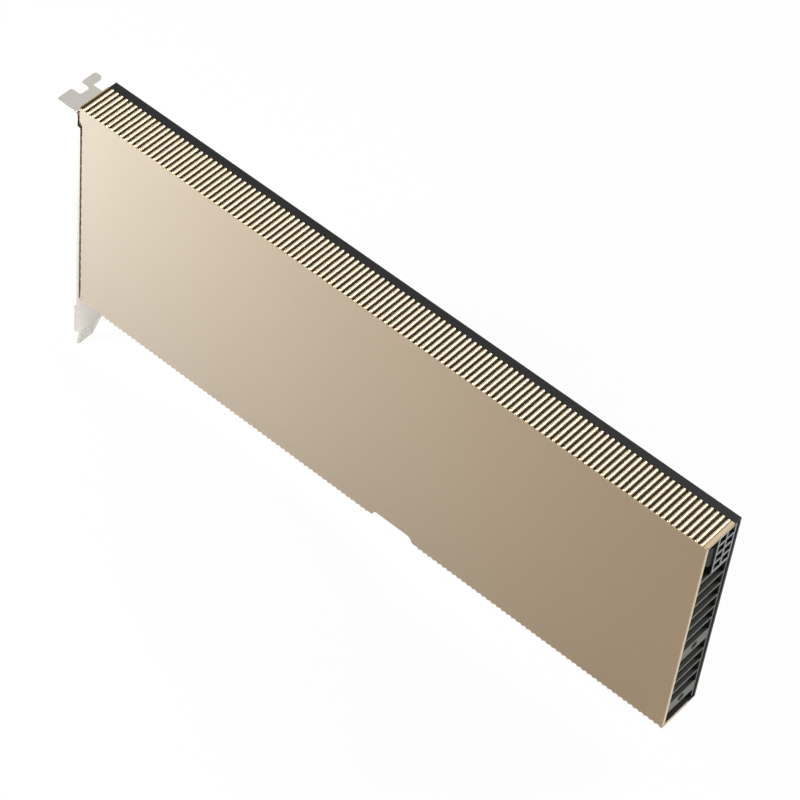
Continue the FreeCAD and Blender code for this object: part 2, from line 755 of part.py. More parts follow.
def make_edge_contacts():
    """Plated contacts: on each face a short row and a long row, one side of the key each."""
    body = body_for("edge_contacts")
    low, high = "contact_start", "contact_start + contact_length"
    for face, reverse in (("y_board", False), ("y_behind", True)):
        for sign, count in (("0 -", "short_contacts"), ("0 +", "long_contacts")):
            middle = f"({sign} contact_first)"
            drawn = sketch(body, "XZ", face)
            rectangle(drawn, f"{middle} - contact_width / 2", low, f"{middle} + contact_width / 2", high)
            first = pad(body, drawn, "contact_thick", reverse=reverse)
            step = "contact_pitch"
            row = repeated(body, [first], "X", count, step)
            row.Reversed = sign == "0 -"


def make_processor():
    centre = [("x_chip", "z_chip")]
    substrate = chips("processor_substrate", centre, "substrate_side", "substrate_side", "substrate_thick")[0]
    substrate.Label = "processor_substrate"
    body = body_for("package_frame")
    ring = sketch(body, "XZ", "y_board - substrate_thick")
    for inset in ("1", "1 + ring_width"):
        half = f"(substrate_side / 2 - ({inset}))"
        rectangle(ring, f"x_chip - {half}", f"z_chip - {half}", f"x_chip + {half}", f"z_chip + {half}")
    pad(body, ring, "ring_thick")
    die = chips(
        "processor_die", centre, "die_width", "die_height", "die_thick", base="(y_board - substrate_thick)"
    )[0]
    die.Label = "processor_die"
    paste = chips(
        "thermal_paste",
        centre,
        "die_width",
        "die_height",
        "paste_thick",
        base="(y_board - substrate_thick - die_thick)",
    )[0]
    paste.Label = "thermal_paste"
    nodes.extend([substrate, die, paste])


def make_memory():
    """Four rows of three around the processor, and a soft pad from each to the heatsink."""
    offsets = ["- memory_pitch", "+ 0", "+ memory_pitch"]
    beside = [(f"(x_chip {a} memory_column)", f"(z_chip {b})") for a in "+-" for b in offsets]
    across = [(f"(x_chip {b})", f"(z_chip {a} memory_row)") for a in "+-" for b in offsets]
    top = "(y_board - memory_thick)"
    pad_thick = f"({top} - y_base)"
    parts = chips("memory_a", beside, "memory_short", "memory_long", "memory_thick")
    parts += chips("memory_b", across, "memory_long", "memory_short", "memory_thick")
    group("memory_chips", parts)
    pads = chips("memory_pad_a", beside, "memory_short", "memory_long", pad_thick, base=top)
    pads += chips("memory_pad_b", across, "memory_long", "memory_short", pad_thick, base=top)
    group("memory_pads", pads)


def make_power_parts():
    rows = [
        f"(z_chip + ({k} - (power_rows - 1) / 2) * power_pitch)" for k in range(int(number("power_rows")))
    ]
    coils = [(f"(x_chip + {column})", z) for column in ("coil_near", "coil_far") for z in rows]
    group("power_inductors", chips("coil", coils, "coil_side", "coil_side", "coil_tall"))
    columns = ["(x_chip + coil_near + stage_inset)", "(x_chip + coil_far - stage_inset)"]
    stages = [(column, z) for column in columns for z in rows]
    group("power_stages", chips("stage", stages, "stage_width", "stage_height", "stage_thick"))
    length = "((power_rows - 1) * power_pitch + stage_height)"
    top = "(y_board - stage_thick)"
    strips = [(column, "z_chip") for column in columns]
    thick = f"({top} - y_base)"
    group("power_stage_pads", chips("stage_pad", strips, "stage_width", length, thick, base=top))
    bulk = [
        ("(x_chip + bulk_x)", f"(z_chip + ({k} - (bulk_rows - 1) / 2) * bulk_pitch)")
        for k in range(int(number("bulk_rows")))
    ]
    group("bulk_capacitors", chips("bulk", bulk, "bulk_width", "bulk_height", "bulk_thick"))
    logic = [
        ("(x_chip - logic_x)", f"(z_chip + ({k} - (logic_rows - 1) / 2) * logic_pitch)")
        for k in range(int(number("logic_rows")))
    ]
    group("control_chips", chips("logic", logic, "logic_side", "logic_side", "logic_thick"))


def make_back_capacitors():
    count = int(number("chip_cap_rows"))
    steps = [f"({k} - (chip_cap_rows - 1) / 2) * chip_cap_pitch" for k in range(count)]
    parts = [
        block(
            f"back_capacitor_{i}_{j}",
            (f"x_chip + {a} - chip_cap_long / 2", "y_behind", f"z_chip + {b} - chip_cap_wide / 2"),
            ("chip_cap_long", "chip_cap_tall", "chip_cap_wide"),
        )
        for i, a in enumerate(steps)
        for j, b in enumerate(steps)
    ]
    group("back_capacitors", parts)


# ---- heatsink ----


def make_heatsink_base():
    body = body_for("heatsink_base")
    plate = sketch(body, "XZ", "y_base")
    rectangle(plate, "x_sink", "z_sink_low", "x_sink_end", "z_sink_top")
    pad(body, plate, "sink_base")
    # a window round each column of inductors
    windows = sketch(body, "XZ", "y_sink")
    half = "(coil_side / 2 + coil_room)"
    reach = f"((power_rows - 1) * power_pitch / 2 + {half})"
    for column in ("coil_near", "coil_far"):
        low, high = f"x_chip + {column} - {half}", f"x_chip + {column} + {half}"
        rectangle(windows, low, f"z_chip - {reach}", high, f"z_chip + {reach}")
    pocket(body, windows, "sink_base", reverse=False)
    posts(body, "y_base", "post_radius", "y_board - y_base", POSTS, reverse=True)
    holes(body, "y_board", "screw_tap", "y_board - y_base + sink_base / 2", POSTS, reverse=True)


def make_heatsink_fins():
    """A zipper stack: thin fins along the card, joined by a foot that is soldered to the base."""
    body = body_for("heatsink_fins")
    foot = sketch(body, "XZ", "y_sink")
    rectangle(foot, "x_sink", "z_sink_low", "x_sink_end", "z_sink_top")
    pad(body, foot, "fin_thick")
    fin = sketch(body, "XZ", "y_sink - fin_thick")
    rectangle(fin, "x_sink", "z_sink_low", "x_sink_end", "z_sink_low + fin_thick")
    first = pad(body, fin, "y_sink - fin_thick - y_fins")
    count = 1 + int(number("(z_sink_top - z_sink_low - fin_thick) / fin_pitch"))
    repeated(body, [first], "Z", count, "fin_pitch")


# ---- rear frame and power connector ----


def shelf(body, low, thick):
    """A flat wall of the rear frame, from its back wall to just short of the cover."""
    drawn = sketch(body, "YZ", "x_frame_in")
    rectangle(drawn, "y_inside + frame_room", low, "y_plate - frame_wall", f"{low} + {thick}")
    return pad(body, drawn, "frame_depth")


def make_rear_frame():
    """The frame's back wall, with the ledge under the power connector."""
    body = body_for("rear_frame")
    angle = sketch(body, "YZ", "x_frame_in")
    outline(
        angle,
        [
            ("y_plate", "z_in_low"),
            ("y_plate", "z_ledge + ledge_thick"),
            ("y_inside + frame_room", "z_ledge + ledge_thick"),
            ("y_inside + frame_room", "z_ledge"),
            ("y_plate - frame_wall", "z_ledge"),
            ("y_plate - frame_wall", "z_in_low"),
        ],
    )
    pad(body, angle, "frame_depth")
    holes(body, "y_plate", "screw_tap", "screw_bite", FRAME_SCREWS, reverse=True)


def make_guide_vanes():
    body = body_for("guide_vanes")
    for middle, count in (("z_bar_low", "low_vanes"), ("z_bar_high", "high_vanes")):
        vane = shelf(body, f"({middle} + bar_height / 2 + air_gap)", "vane_thick")
        repeated(body, [vane], "Z", count, "vane_step")


def make_frame_bars():
    """The two bars that take the screws of an extension bracket."""
    body = body_for("frame_bars")
    for middle in ("z_bar_low", "z_bar_high"):
        shelf(body, f"({middle} - bar_height / 2)", "bar_height")
    ends = sketch(body, "YZ", "x_frame")
    for middle in ("z_bar_low", "z_bar_high"):
        circle(ends, "y_face + bar_hole_inset", middle, "bar_hole_radius")
    pocket(body, ends, "bar_hole_depth", reverse=False)
    holes(body, "y_plate", "screw_tap", "screw_bite", FRAME_SCREWS, reverse=True)


def squares(drawn, half):
    """A square on the middle of every cell of the power connector."""
    for y in cell_columns():
        for z in cell_rows():
            rectangle(drawn, f"{y} - {half}", f"{z} - {half}", f"{y} + {half}", f"{z} + {half}")


def make_power_connector():
    body = body_for("power_connector")
    housing = sketch(body, "YZ", "x_plug_in")
    rectangle(housing, "y_plug_front", "z_plug", "y_plug_back", "z_plug_top")
    pad(body, housing, "plug_length")
    cells = sketch(body, "YZ", "x_plug")
    squares(cells, "(cell_side / 2)")
    pocket(body, cells, "cell_depth", reverse=False)
    pins = sketch(body, "YZ", "x_plug_in")
    squares(pins, "(pin_side / 2)")
    pocket(body, pins, "plug_length - cell_depth", reverse=True)
    ramp = sketch(body, "XY", "(z_plug + z_plug_top) / 2 - latch_ramp_width / 2")
    back = "(x_plug - latch_ramp_recess)"
    outline(
        ramp,
        [
            (back, "y_plug_front"),
            (f"{back} - latch_ramp_length", "y_plug_front"),
            (f"{back} - latch_ramp_length", "y_plug_front - latch_ramp_rise"),
            (f"{back} - latch_ramp_rise / 2", "y_plug_front - latch_ramp_rise"),
            (back, "y_plug_front - latch_ramp_rise / 2"),
        ],
    )
    pad(body, ramp, "latch_ramp_width")


def make_power_terminals():
    """Square pins, bent towards the board behind the housing. The rear column steps over its edge."""
    body = body_for("power_terminals")
    front, rear = cell_columns()
    half = "(pin_side / 2)"
    tip = "x_plug - pin_recess"
    run = "(y_board - tail_rise)"
    jog = "(x_board_end + tail_jog)"
    outer = [(tip, f"{front} - {half}"), (tip, f"{front} + {half}")]
    over = [(tip, f"{rear} - {half}"), (tip, f"{rear} + {half}"), (jog, f"{rear} + {half}")]
    over.append((jog, f"{run} + {half}"))
    back = [(f"{jog} + pin_side", f"{run} - {half}"), (f"{jog} + pin_side", f"{rear} - {half}")]
    rows = [("(x_plug_in - tail_far)", front, outer, []), ("(x_plug_in - tail_near)", run, over, back)]
    for x, level, start, finish in rows:
        tail = [
            (f"{x} + {half}", f"{level} + {half}"),
            (f"{x} + {half}", "y_behind + tail_stub"),
            (f"{x} - {half}", "y_behind + tail_stub"),
            (f"{x} - {half}", f"{level} - {half}"),
        ]
        bent = sketch(body, "XY", f"{cell_rows()[0]} - {half}")
        outline(bent, start + tail + finish)
        first = pad(body, bent, "pin_side")
        repeated(body, [first], "Z", "4", "cell_pitch")


# ---- bracket ----


def make_mounting_bracket():
    body = body_for("mounting_bracket")
    width = "bracket_width"
    inner = "(x_out + sheet_thick)"
    bend = "(z_tip + tab_bend)"
    folded = sketch(body, "XZ", "y_bracket")
    outline(
        folded,
        [
            ("x_out - tab_lean", "z_tip"),
            (f"{inner} - tab_lean", "z_tip"),
            (inner, bend),
            (inner, "z_flange"),
            ("x_out - flange_reach", "z_flange"),
            ("x_out - flange_reach", "z_flange - sheet_thick"),
            ("x_out", "z_flange - sheet_thick"),
            ("x_out", bend),
        ],
    )
    pad(body, folded, width, reverse=True)
    rounded(body, "bend_outside", lambda edge: along(edge, "y") and near(edge, x=inner, z="z_flange"))
    under = "z_flange - sheet_thick"
    rounded(body, "bend_inside", lambda edge: along(edge, "y") and near(edge, x="x_out", z=under))

    # front lip, folded back towards the cover
    lip = sketch(body, "XY", "z_low - lip_low")
    rectangle(lip, "x_out + bend_inside", "y_bracket", "x_out + lip_reach", "y_bracket + sheet_thick")
    pad(body, lip, "z_top - lip_top - z_low + lip_low")
    bent = sketch(body, "XY", "z_low - lip_low")
    quarter(bent, "x_out", "y_bracket", "bend_outside")
    pocket(body, bent, "z_top - lip_top - z_low + lip_low", reverse=True)
    corner = "y_bracket + sheet_thick"
    rounded(body, "bend_inside", lambda edge: along(edge, "z") and near(edge, x=inner, y=corner))

    # outline of the plate, seen along the card: what is cut away beside the tab and above the plate's corner
    rear = f"(y_bracket + {width})"
    tab_rear = "(y_bracket + tab_width)"
    tip_front = "(y_bracket + tip_inset)"
    tip_rear = f"({tip_front} + tip_width)"
    drop = f"({rear} - {tab_rear})"
    beside = sketch(body, "YZ", "x_out - tab_lean - 1")
    outline(
        beside,
        [
            (f"{rear} + 1", "z_low + lip_low"),
            (rear, "z_low + lip_low"),
            (tab_rear, f"z_low + lip_low - {drop}"),
            (tab_rear, "z_tip + tip_height"),
            (tip_rear + " + tip_bevel / 3", "z_tip + tip_bevel"),
            (tip_rear, "z_tip"),
            (tip_rear, "z_tip - 1"),
            (f"{rear} + 1", "z_tip - 1"),
        ],
    )
    pocket(body, beside, "tab_lean + sheet_thick + 2", reverse=True)
    ahead = sketch(body, "YZ", "x_out - tab_lean - 1")
    outline(
        ahead,
        [
            ("y_bracket - 1", "z_tip - 1"),
            (tip_front, "z_tip - 1"),
            (tip_front, "z_tip + tip_height"),
            ("y_bracket", "z_tip + tip_height + tip_shoulder"),
            ("y_bracket - 1", "z_tip + tip_height + tip_shoulder"),
        ],
    )
    pocket(body, ahead, "tab_lean + sheet_thick + 2", reverse=True)

    # screw flange: notch, and the gap between its rear arm and the plate
    notch = sketch(body, "XY", "z_flange")
    half = "screw_notch_width / 2"
    middle = f"(y_bracket + {width} / 2)"
    edge = "(x_out - flange_reach)"
    rectangle(notch, f"{edge} - 1", f"{middle} - {half}", f"{edge} + screw_notch_depth", f"{middle} + {half}")
    neck = "(y_bracket + neck_width)"
    rectangle(notch, f"{edge} + arm_depth", neck, f"{inner} + 1", f"{rear} + 1")
    pocket(body, notch, "shoulder_drop", reverse=False)
    ends = [f"{middle} - {half}", f"{middle} + {half}"]
    rounded(
        body,
        "flange_round",
        lambda line: along(line, "z")
        and (
            near(line, x=edge)
            or any(near(line, x=f"{edge} + screw_notch_depth", y=y) for y in ends)
            or near(line, x=f"{edge} + arm_depth", y=neck)
            or near(line, x=f"{edge} + arm_depth", y=rear)
        ),
    )

    # vent slots, with their corners cut off
    vents = sketch(body, "YZ", "x_out - 1")
    centre = "(y_face + cover_depth / 2)"
    start = "(z_low + vent_low)"
    corners = [
        (
            f"{centre} {side} (vent_length / 2 - {end} * vent_cut)",
            f"{start} {edge} (vent_width / 2 - {1 - end} * vent_cut)",
        )
        for side, edge, ends in (("+", "+", (0, 1)), ("-", "+", (1, 0)), ("-", "-", (0, 1)), ("+", "-", (1, 0)))
        for end in ends
    ]
    outline(vents, corners)
    first = pocket(body, vents, "sheet_thick + 2", reverse=True)
    count = 1 + int(number("(cover_height - vent_low - vent_high) / vent_pitch"))
    repeated(body, [first], "Z", count, "vent_pitch")

    # ears that take the board
    ear = sketch(body, "XZ", "y_board")
    rectangle(ear, inner, "z_low + ear_low", "x_out + ear_length", "z_low + ear_low + ear_height")
    over(body, [pad(body, ear, "sheet_thick")], EARS)
    holes(body, "y_board", "bracket_screw_hole", "sheet_thick", EARS, reverse=True)


def quarter(drawn, u, v, radius):
    """What a rounded corner takes off: two straight sides from the corner and an arc between them."""
    r = number(radius)
    corner = FreeCAD.Vector(number(u), number(v), 0)
    across = FreeCAD.Vector(r, 0, 0)
    up = FreeCAD.Vector(0, r, 0)
    drawn.addGeometry(Part.LineSegment(corner, corner + across), False)
    arc = Part.ArcOfCircle(Part.Circle(corner + across + up, NORMAL, r), math.pi, 1.5 * math.pi)
    drawn.addGeometry(arc, False)
    drawn.addGeometry(Part.LineSegment(corner + up, corner), False)
    drawn.addConstraint(Sketcher.Constraint("Coincident", 0, 2, 1, 2))
    drawn.addConstraint(Sketcher.Constraint("Coincident", 1, 1, 2, 1))
    drawn.addConstraint(Sketcher.Constraint("Coincident", 2, 2, 0, 1))
    hold(drawn, "DistanceX", (0, 1), u)
    hold(drawn, "DistanceY", (0, 1), v)
    hold(drawn, "DistanceX", (1, 3), f"{u} + {radius}")
    hold(drawn, "DistanceY", (1, 3), f"{v} + {radius}")
    hold(drawn, "DistanceX", (0, 2), f"{u} + {radius}")
    hold(drawn, "DistanceY", (0, 2), v)
    hold(drawn, "DistanceY", (2, 1), f"{v} + {radius}")


# ---- screws ----


def screws(label, grid, face, head, shank, length, head_height, sloped):
    """Screws along Y at all the places of a grid, their heads' faces at a distance along Y."""
    body = body_for(label)
    wide = sketch(body, "XZ", face)
    polygon(wide, grid[0], grid[1], head)
    top = pad(body, wide, head_height)
    if sloped:
        doc.recompute()
        faces = list(enumerate(top.Shape.Faces, start=1))
        tops = [f"Face{k}" for k, found in faces if found.BoundBox.YMin > number(face) - CLOSE]
        sides = [f"Face{k}" for k, found in faces if found.BoundBox.YLength > CLOSE]
        cone = body.newObject("PartDesign::Draft", label + "_cone")
        cone.Base = (top, sides)
        cone.NeutralPlane = (top, tops)
        cone.Angle = 45
        cone.Reversed = True
    narrow = sketch(body, "XZ", face)
    polygon(narrow, grid[0], grid[1], shank)
    pad(body, narrow, length)
    over(body, [], grid)


def make_screws():
    # flat heads, flush with the back plate
    head, shank = "head_radius", "screw_radius"
    for label, grid, length in (
        ("board_screws", EDGE_SCREWS, "y_back - y_board + screw_bite"),
        ("heatsink_screws", POSTS, "y_back - y_base"),
        ("frame_screws", FRAME_SCREWS, "plate_thick + screw_bite - 1"),
    ):
        screws(label, grid, "y_back", head, shank, length, "head_height", sloped=True)
    # low heads behind the board, shanks through it into the bracket's ears
    face = "(y_behind + bracket_head_height)"
    length = "bracket_head_height + board_thick + sheet_thick"
    head, shank = "bracket_head_radius", "bracket_screw_radius"
    screws("bracket_screws", EARS, face, head, shank, length, "bracket_head_height", sloped=False)


# ---- the card ----


def settled(thing):
    return not {"Invalid", "Error"} & set(thing.State)


def check_and_export():
    doc.recompute()
    for thing in doc.Objects:
        if not settled(thing):
            raise RuntimeError(f"{thing.Label} did not build: {thing.State}")
        cut = thing.TypeId == "PartDesign::Pocket"
        if cut and thing.Shape.Volume > thing.BaseFeature.Shape.Volume - 1e-6:
            raise RuntimeError(f"{thing.Label} cuts nothing")
    os.makedirs("parts", exist_ok=True)
    for node in nodes:
        shape = node.Shape
        if shape.isNull() or not shape.isValid() or not shape.Solids:
            raise RuntimeError(f"{node.Label} has no sound shape")
        shape.exportStep(f"parts/{node.Label}.step")
        print(node.Label, len(shape.Solids), "solids,", round(shape.Volume, 1), "mm3")


fill_sheet()
make_front_cover()
make_upper_rail()
make_lower_rail()
make_cover_standoffs()
make_back_plate()
make_insulating_film()
make_back_spacers()
make_circuit_board()
make_edge_contacts()
make_processor()
make_memory()
make_power_parts()
make_back_capacitors()
make_heatsink_base()
make_heatsink_fins()
make_rear_frame()
make_guide_vanes()
make_frame_bars()
make_power_connector()
make_power_terminals()
make_mounting_bracket()
make_screws()
check_and_export()
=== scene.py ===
import json
import math

import bmesh
import bpy
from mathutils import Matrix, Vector


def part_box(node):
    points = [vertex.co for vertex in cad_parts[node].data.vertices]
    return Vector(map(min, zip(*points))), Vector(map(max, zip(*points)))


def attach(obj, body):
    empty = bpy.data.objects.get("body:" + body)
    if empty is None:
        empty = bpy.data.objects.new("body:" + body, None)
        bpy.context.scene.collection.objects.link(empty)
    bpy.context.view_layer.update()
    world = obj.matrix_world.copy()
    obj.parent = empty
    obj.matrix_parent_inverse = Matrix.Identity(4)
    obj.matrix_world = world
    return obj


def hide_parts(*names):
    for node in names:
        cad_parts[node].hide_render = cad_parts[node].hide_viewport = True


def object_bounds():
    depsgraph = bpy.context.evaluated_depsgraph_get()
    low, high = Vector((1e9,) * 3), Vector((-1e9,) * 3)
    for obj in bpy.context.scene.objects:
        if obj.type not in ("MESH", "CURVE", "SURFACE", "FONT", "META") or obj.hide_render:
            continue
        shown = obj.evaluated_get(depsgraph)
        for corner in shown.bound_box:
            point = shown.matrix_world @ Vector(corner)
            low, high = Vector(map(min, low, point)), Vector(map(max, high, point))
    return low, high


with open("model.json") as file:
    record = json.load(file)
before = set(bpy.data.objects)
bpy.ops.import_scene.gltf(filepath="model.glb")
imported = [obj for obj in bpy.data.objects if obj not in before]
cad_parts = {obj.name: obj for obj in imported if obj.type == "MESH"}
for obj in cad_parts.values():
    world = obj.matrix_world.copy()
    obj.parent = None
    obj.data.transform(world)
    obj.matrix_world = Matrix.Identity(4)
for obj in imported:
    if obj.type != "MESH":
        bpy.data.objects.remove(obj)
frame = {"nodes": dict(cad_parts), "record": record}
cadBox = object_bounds()
nodes = frame["nodes"]
mm = 0.001
print("stage: frame loaded")


class Value:
    # wraps a socket, so that an expression on values adds its Math nodes
    def __init__(self, graph, socket):
        self.graph = graph
        self.socket = socket

    def math(self, operation, first, second):
        return self.graph.add("ShaderNodeMath", {"operation": operation}, {0: first, 1: second})

    def __add__(self, other):
        return self.math("ADD", self, other)

    def __radd__(self, other):
        return self.math("ADD", other, self)

    def __sub__(self, other):
        return self.math("SUBTRACT", self, other)

    def __rsub__(self, other):
        return self.math("SUBTRACT", other, self)

    def __mul__(self, other):
        return self.math("MULTIPLY", self, other)

    def __rmul__(self, other):
        return self.math("MULTIPLY", other, self)

    def __truediv__(self, other):
        return self.math("DIVIDE", self, other)

    def __gt__(self, other):
        return self.math("GREATER_THAN", self, other)

    def __lt__(self, other):
        return self.math("LESS_THAN", self, other)


class Graph:
    def __init__(self, tree):
        self.tree = tree

    def add(self, kind, settings=None, inputs=None, out=0):
        # settings are the node's own, such as an operation; inputs are numbers or values, by socket
        node = self.tree.nodes.new(kind)
        for name, setting in (settings or {}).items():
            setattr(node, name, setting)
        for key, given in (inputs or {}).items():
            if isinstance(given, Value):
                self.tree.links.new(given.socket, node.inputs[key])
            else:
                node.inputs[key].default_value = given
        return Value(self, node.outputs[out]) if node.outputs else node

    def blend(self, factor, first, second):
        return self.add("ShaderNodeMix", {"data_type": "RGBA"}, {0: factor, 6: first, 7: second}, out=2)

    def join(self, *parts):
        # several geometries into one
        node = self.tree.nodes.new("GeometryNodeJoinGeometry")
        for part in parts:
            self.tree.links.new(part.socket, node.inputs[0])
        return Value(self, node.outputs[0])


class Finish(Graph):
    # one material
    def __init__(self, name):
        self.material = bpy.data.materials.new(name)
        self.material.use_nodes = True
        super().__init__(self.material.node_tree)
        self.tree.nodes.clear()
        self.place = self.add("ShaderNodeTexCoord", out="Object")

    def along(self, axis):
        return self.add("ShaderNodeSeparateXYZ", {}, {0: self.place}, out=axis)

    def noise(self, size, detail=2.0, stretch=None):
        # a soft random pattern from 0 to 1, size in metres
        place = self.place
        if stretch:
            place = self.add("ShaderNodeMapping", {}, {0: place, "Scale": stretch})
        return self.add(
            "ShaderNodeTexNoise",
            {"noise_dimensions": "3D"},
            {"Vector": place, "Scale": 1 / size, "Detail": detail},
        )

    def bump(self, height, depth, strength=1.0):
        return self.add("ShaderNodeBump", {}, {"Height": height, "Distance": depth, "Strength": strength})

    def surface(self, **inputs):
        named = {key.replace("_", " "): given for key, given in inputs.items()}
        shader = self.add("ShaderNodeBsdfPrincipled", {}, named)
        self.add("ShaderNodeOutputMaterial", {}, {"Surface": shader})
        return self.material


def inMetres(look, *plain):
    # a dictionary of millimetres in metres; the plain ones are counts or shares
    return {key: value if key in plain else value * mm for key, value in look.items()}


def rgb(red, green, blue):
    # a colour as it looks on a screen, 0 to 255, turned into the shader's own scale
    def linear(part):
        part /= 255
        return part / 12.92 if part <= 0.04045 else ((part + 0.055) / 1.055) ** 2.4

    return (linear(red), linear(green), linear(blue), 1.0)


goldLook = {
    # painted light: the gold runs from a pale champagne at the bracket, a painted highlight, to a deeper
    # gold at the rear end, painted shade
    "pale": rgb(184, 172, 152),
    "deep": rgb(160, 133, 97),
    "metallic": 0.45,
    "roughness": 0.5,
    "coat": 1.0,
    "coatRoughness": 0.5,
    "grain": 0.00022,
    "grainDepth": 0.000012,
}


def goldAnodised():
    finish = Finish("goldAnodised")
    grain = finish.noise(goldLook["grain"], 2.0)
    low, high = cadBox
    # painted light: the base colour blends along X from the painted highlight at the bracket to painted
    # shade at the rear end
    deeper = (finish.along("X") - low[0]) / (high[0] - low[0])
    colour = finish.blend(deeper, goldLook["pale"], goldLook["deep"])
    dark = finish.blend(0.14, colour, (0.0, 0.0, 0.0, 1.0))
    return finish.surface(
        Base_Color=finish.blend(grain, dark, colour),
        Metallic=goldLook["metallic"],
        Roughness=goldLook["roughness"] + (grain - 0.5) * 0.12,
        Coat_Weight=goldLook["coat"],
        Coat_Roughness=goldLook["coatRoughness"],
        Normal=finish.bump(grain, goldLook["grainDepth"], 0.35),
    )


flutedLook = {
    "dark": rgb(192, 168, 130),
    "light": rgb(212, 191, 156),
    "metallic": 0.7,
    "roughness": 0.3,
    "coat": 1.0,
    "coatRoughness": 0.22,
}


def goldFluted():
    # the ribs are smoother and brighter than the face, with faint lines along them
    finish = Finish("goldFluted")
    lines = finish.noise(0.0003, 2.0, (1.0, 0.1, 1.0))
    return finish.surface(
        Base_Color=finish.blend(lines, flutedLook["dark"], flutedLook["light"]),
        Metallic=flutedLook["metallic"],
        Roughness=flutedLook["roughness"] + lines * 0.06,
        Coat_Weight=flutedLook["coat"],
        Coat_Roughness=flutedLook["coatRoughness"],
    )


def goldCut():
    # painted highlight: the rear end of the sheet is painted pale cream, as though lit
    finish = Finish("goldCut")
    lines = finish.noise(0.0002, 2.0, (1.0, 1.0, 0.15))
    return finish.surface(
        Base_Color=finish.blend(lines, rgb(216, 198, 166), rgb(232, 216, 188)),
        Metallic=0.8,
        Roughness=0.36 + lines * 0.08,
    )


def blackPaint(name, colour, roughness, grain=0.0003):
    finish = Finish(name)
    speckle = finish.noise(grain, 2.0)
    light = tuple(min(1.0, part * 1.5) for part in colour[:3]) + (1.0,)
    return finish.surface(
        Base_Color=finish.blend(speckle, colour, light),
        Roughness=roughness + (speckle - 0.5) * 0.1,
        Specular_IOR_Level=0.3,
        Normal=finish.bump(speckle, 0.00001, 0.3),
    )


def sheetMetal(name, colour, roughness, stretch=(1.0, 1.0, 0.06)):
    # rolled or brushed: fine lines along the stretched axis
    finish = Finish(name)
    lines = finish.noise(0.0004, 3.0, stretch)
    cloud = finish.noise(0.012, 2.0)
    dark = tuple(part * 0.86 for part in colour[:3]) + (1.0,)
    return finish.surface(
        Base_Color=finish.blend(lines * 0.7 + cloud * 0.3, dark, colour),
        Metallic=1.0,
        Roughness=roughness + (lines - 0.5) * 0.15,
        Normal=finish.bump(lines, 0.000006, 0.3),
    )


def plastic(name, colour, roughness, coat=0.0):
    finish = Finish(name)
    speckle = finish.noise(0.0006, 2.0)
    dark = tuple(part * 0.82 for part in colour[:3]) + (1.0,)
    return finish.surface(
        Base_Color=finish.blend(speckle, dark, colour),
        Roughness=roughness + (speckle - 0.5) * 0.08,
        Coat_Weight=coat,
    )


maskLook = {
    "mask": rgb(14, 28, 22),
    "track": rgb(20, 42, 33),
    "roughness": 0.34,
    "trackScale": 900.0,
    "trackShare": 0.28,
    "tongueTop": 8.5,
}


def boardMask():
    # solder mask with faint tracks under it, and none on the tongue
    finish = Finish("boardMask")
    tracks = finish.add(
        "ShaderNodeTexWave",
        {"wave_type": "BANDS", "bands_direction": "DIAGONAL"},
        {"Vector": finish.place, "Scale": maskLook["trackScale"], "Distortion": 1.5, "Detail": 1.0},
    )
    tongue = finish.along("Z") < maskLook["tongueTop"] * mm
    track = (tracks > 1 - maskLook["trackShare"]) * (1 - tongue)
    return finish.surface(
        Base_Color=finish.blend(track, maskLook["mask"], maskLook["track"]),
        Roughness=maskLook["roughness"] - track * 0.06,
        Normal=finish.bump(track, 0.00003, 0.4),
    )


gold = goldAnodised()
fluted = goldFluted()
# the next finish is a painted highlight for the cover's rear end
endHighlightGold = goldCut()
# painted shade: near-black brown on the groove floors between the ribs
grooveBrown = blackPaint("grooveBrown", rgb(16, 10, 4), 0.7)
# painted shade: near-black on the cover's inside faces, which are gold lying in shadow
insideBlack = blackPaint("insideBlack", rgb(16, 15, 14), 0.7)
plateBlack = blackPaint("plateBlack", rgb(10, 10, 10), 0.5)
nickel = sheetMetal("nickel", rgb(225, 220, 213), 0.27)
blackSteel = sheetMetal("blackSteel", rgb(62, 61, 60), 0.4, (1.0, 1.0, 1.0))
paleSteel = sheetMetal("paleSteel", rgb(190, 188, 184), 0.35, (1.0, 1.0, 1.0))
goldFlash = sheetMetal("goldFlash", rgb(222, 184, 108), 0.25, (1.0, 1.0, 0.1))
tinned = sheetMetal("tinned", rgb(205, 196, 176), 0.3, (0.1, 1.0, 1.0))
milled = sheetMetal("milled", rgb(196, 196, 198), 0.38, (0.05, 1.0, 1.0))
print("stage: finishes made")


def meshObject(name, work, materials, smooth=False):
    mesh = bpy.data.meshes.new(name)
    work.to_mesh(mesh)
    work.free()
    for material in materials:
        mesh.materials.append(material)
    for face in mesh.polygons:
        face.use_smooth = smooth
    thing = bpy.data.objects.new(name, mesh)
    bpy.context.scene.collection.objects.link(thing)
    return thing


def prism(work, outline, start, end, axis="Y", index=0):
    # a closed prism from an outline in the plane across the axis
    def corner(u, v, w):
        return {"X": (w, u, v), "Y": (u, w, v), "Z": (u, v, w)}[axis]

    low = [work.verts.new(corner(u, v, start)) for u, v in outline]
    high = [work.verts.new(corner(u, v, end)) for u, v in outline]
    made = [work.faces.new(low), work.faces.new(high[::-1])]
    for k in range(len(outline)):
        after = (k + 1) % len(outline)
        made.append(work.faces.new((low[k], high[k], high[after], low[after])))
    bmesh.ops.recalc_face_normals(work, faces=made)
    for face in made:
        face.material_index = index
    return made


def rectangle(lowU, lowV, highU, highV):
    return [(lowU, lowV), (highU, lowV), (highU, highV), (lowU, highV)]


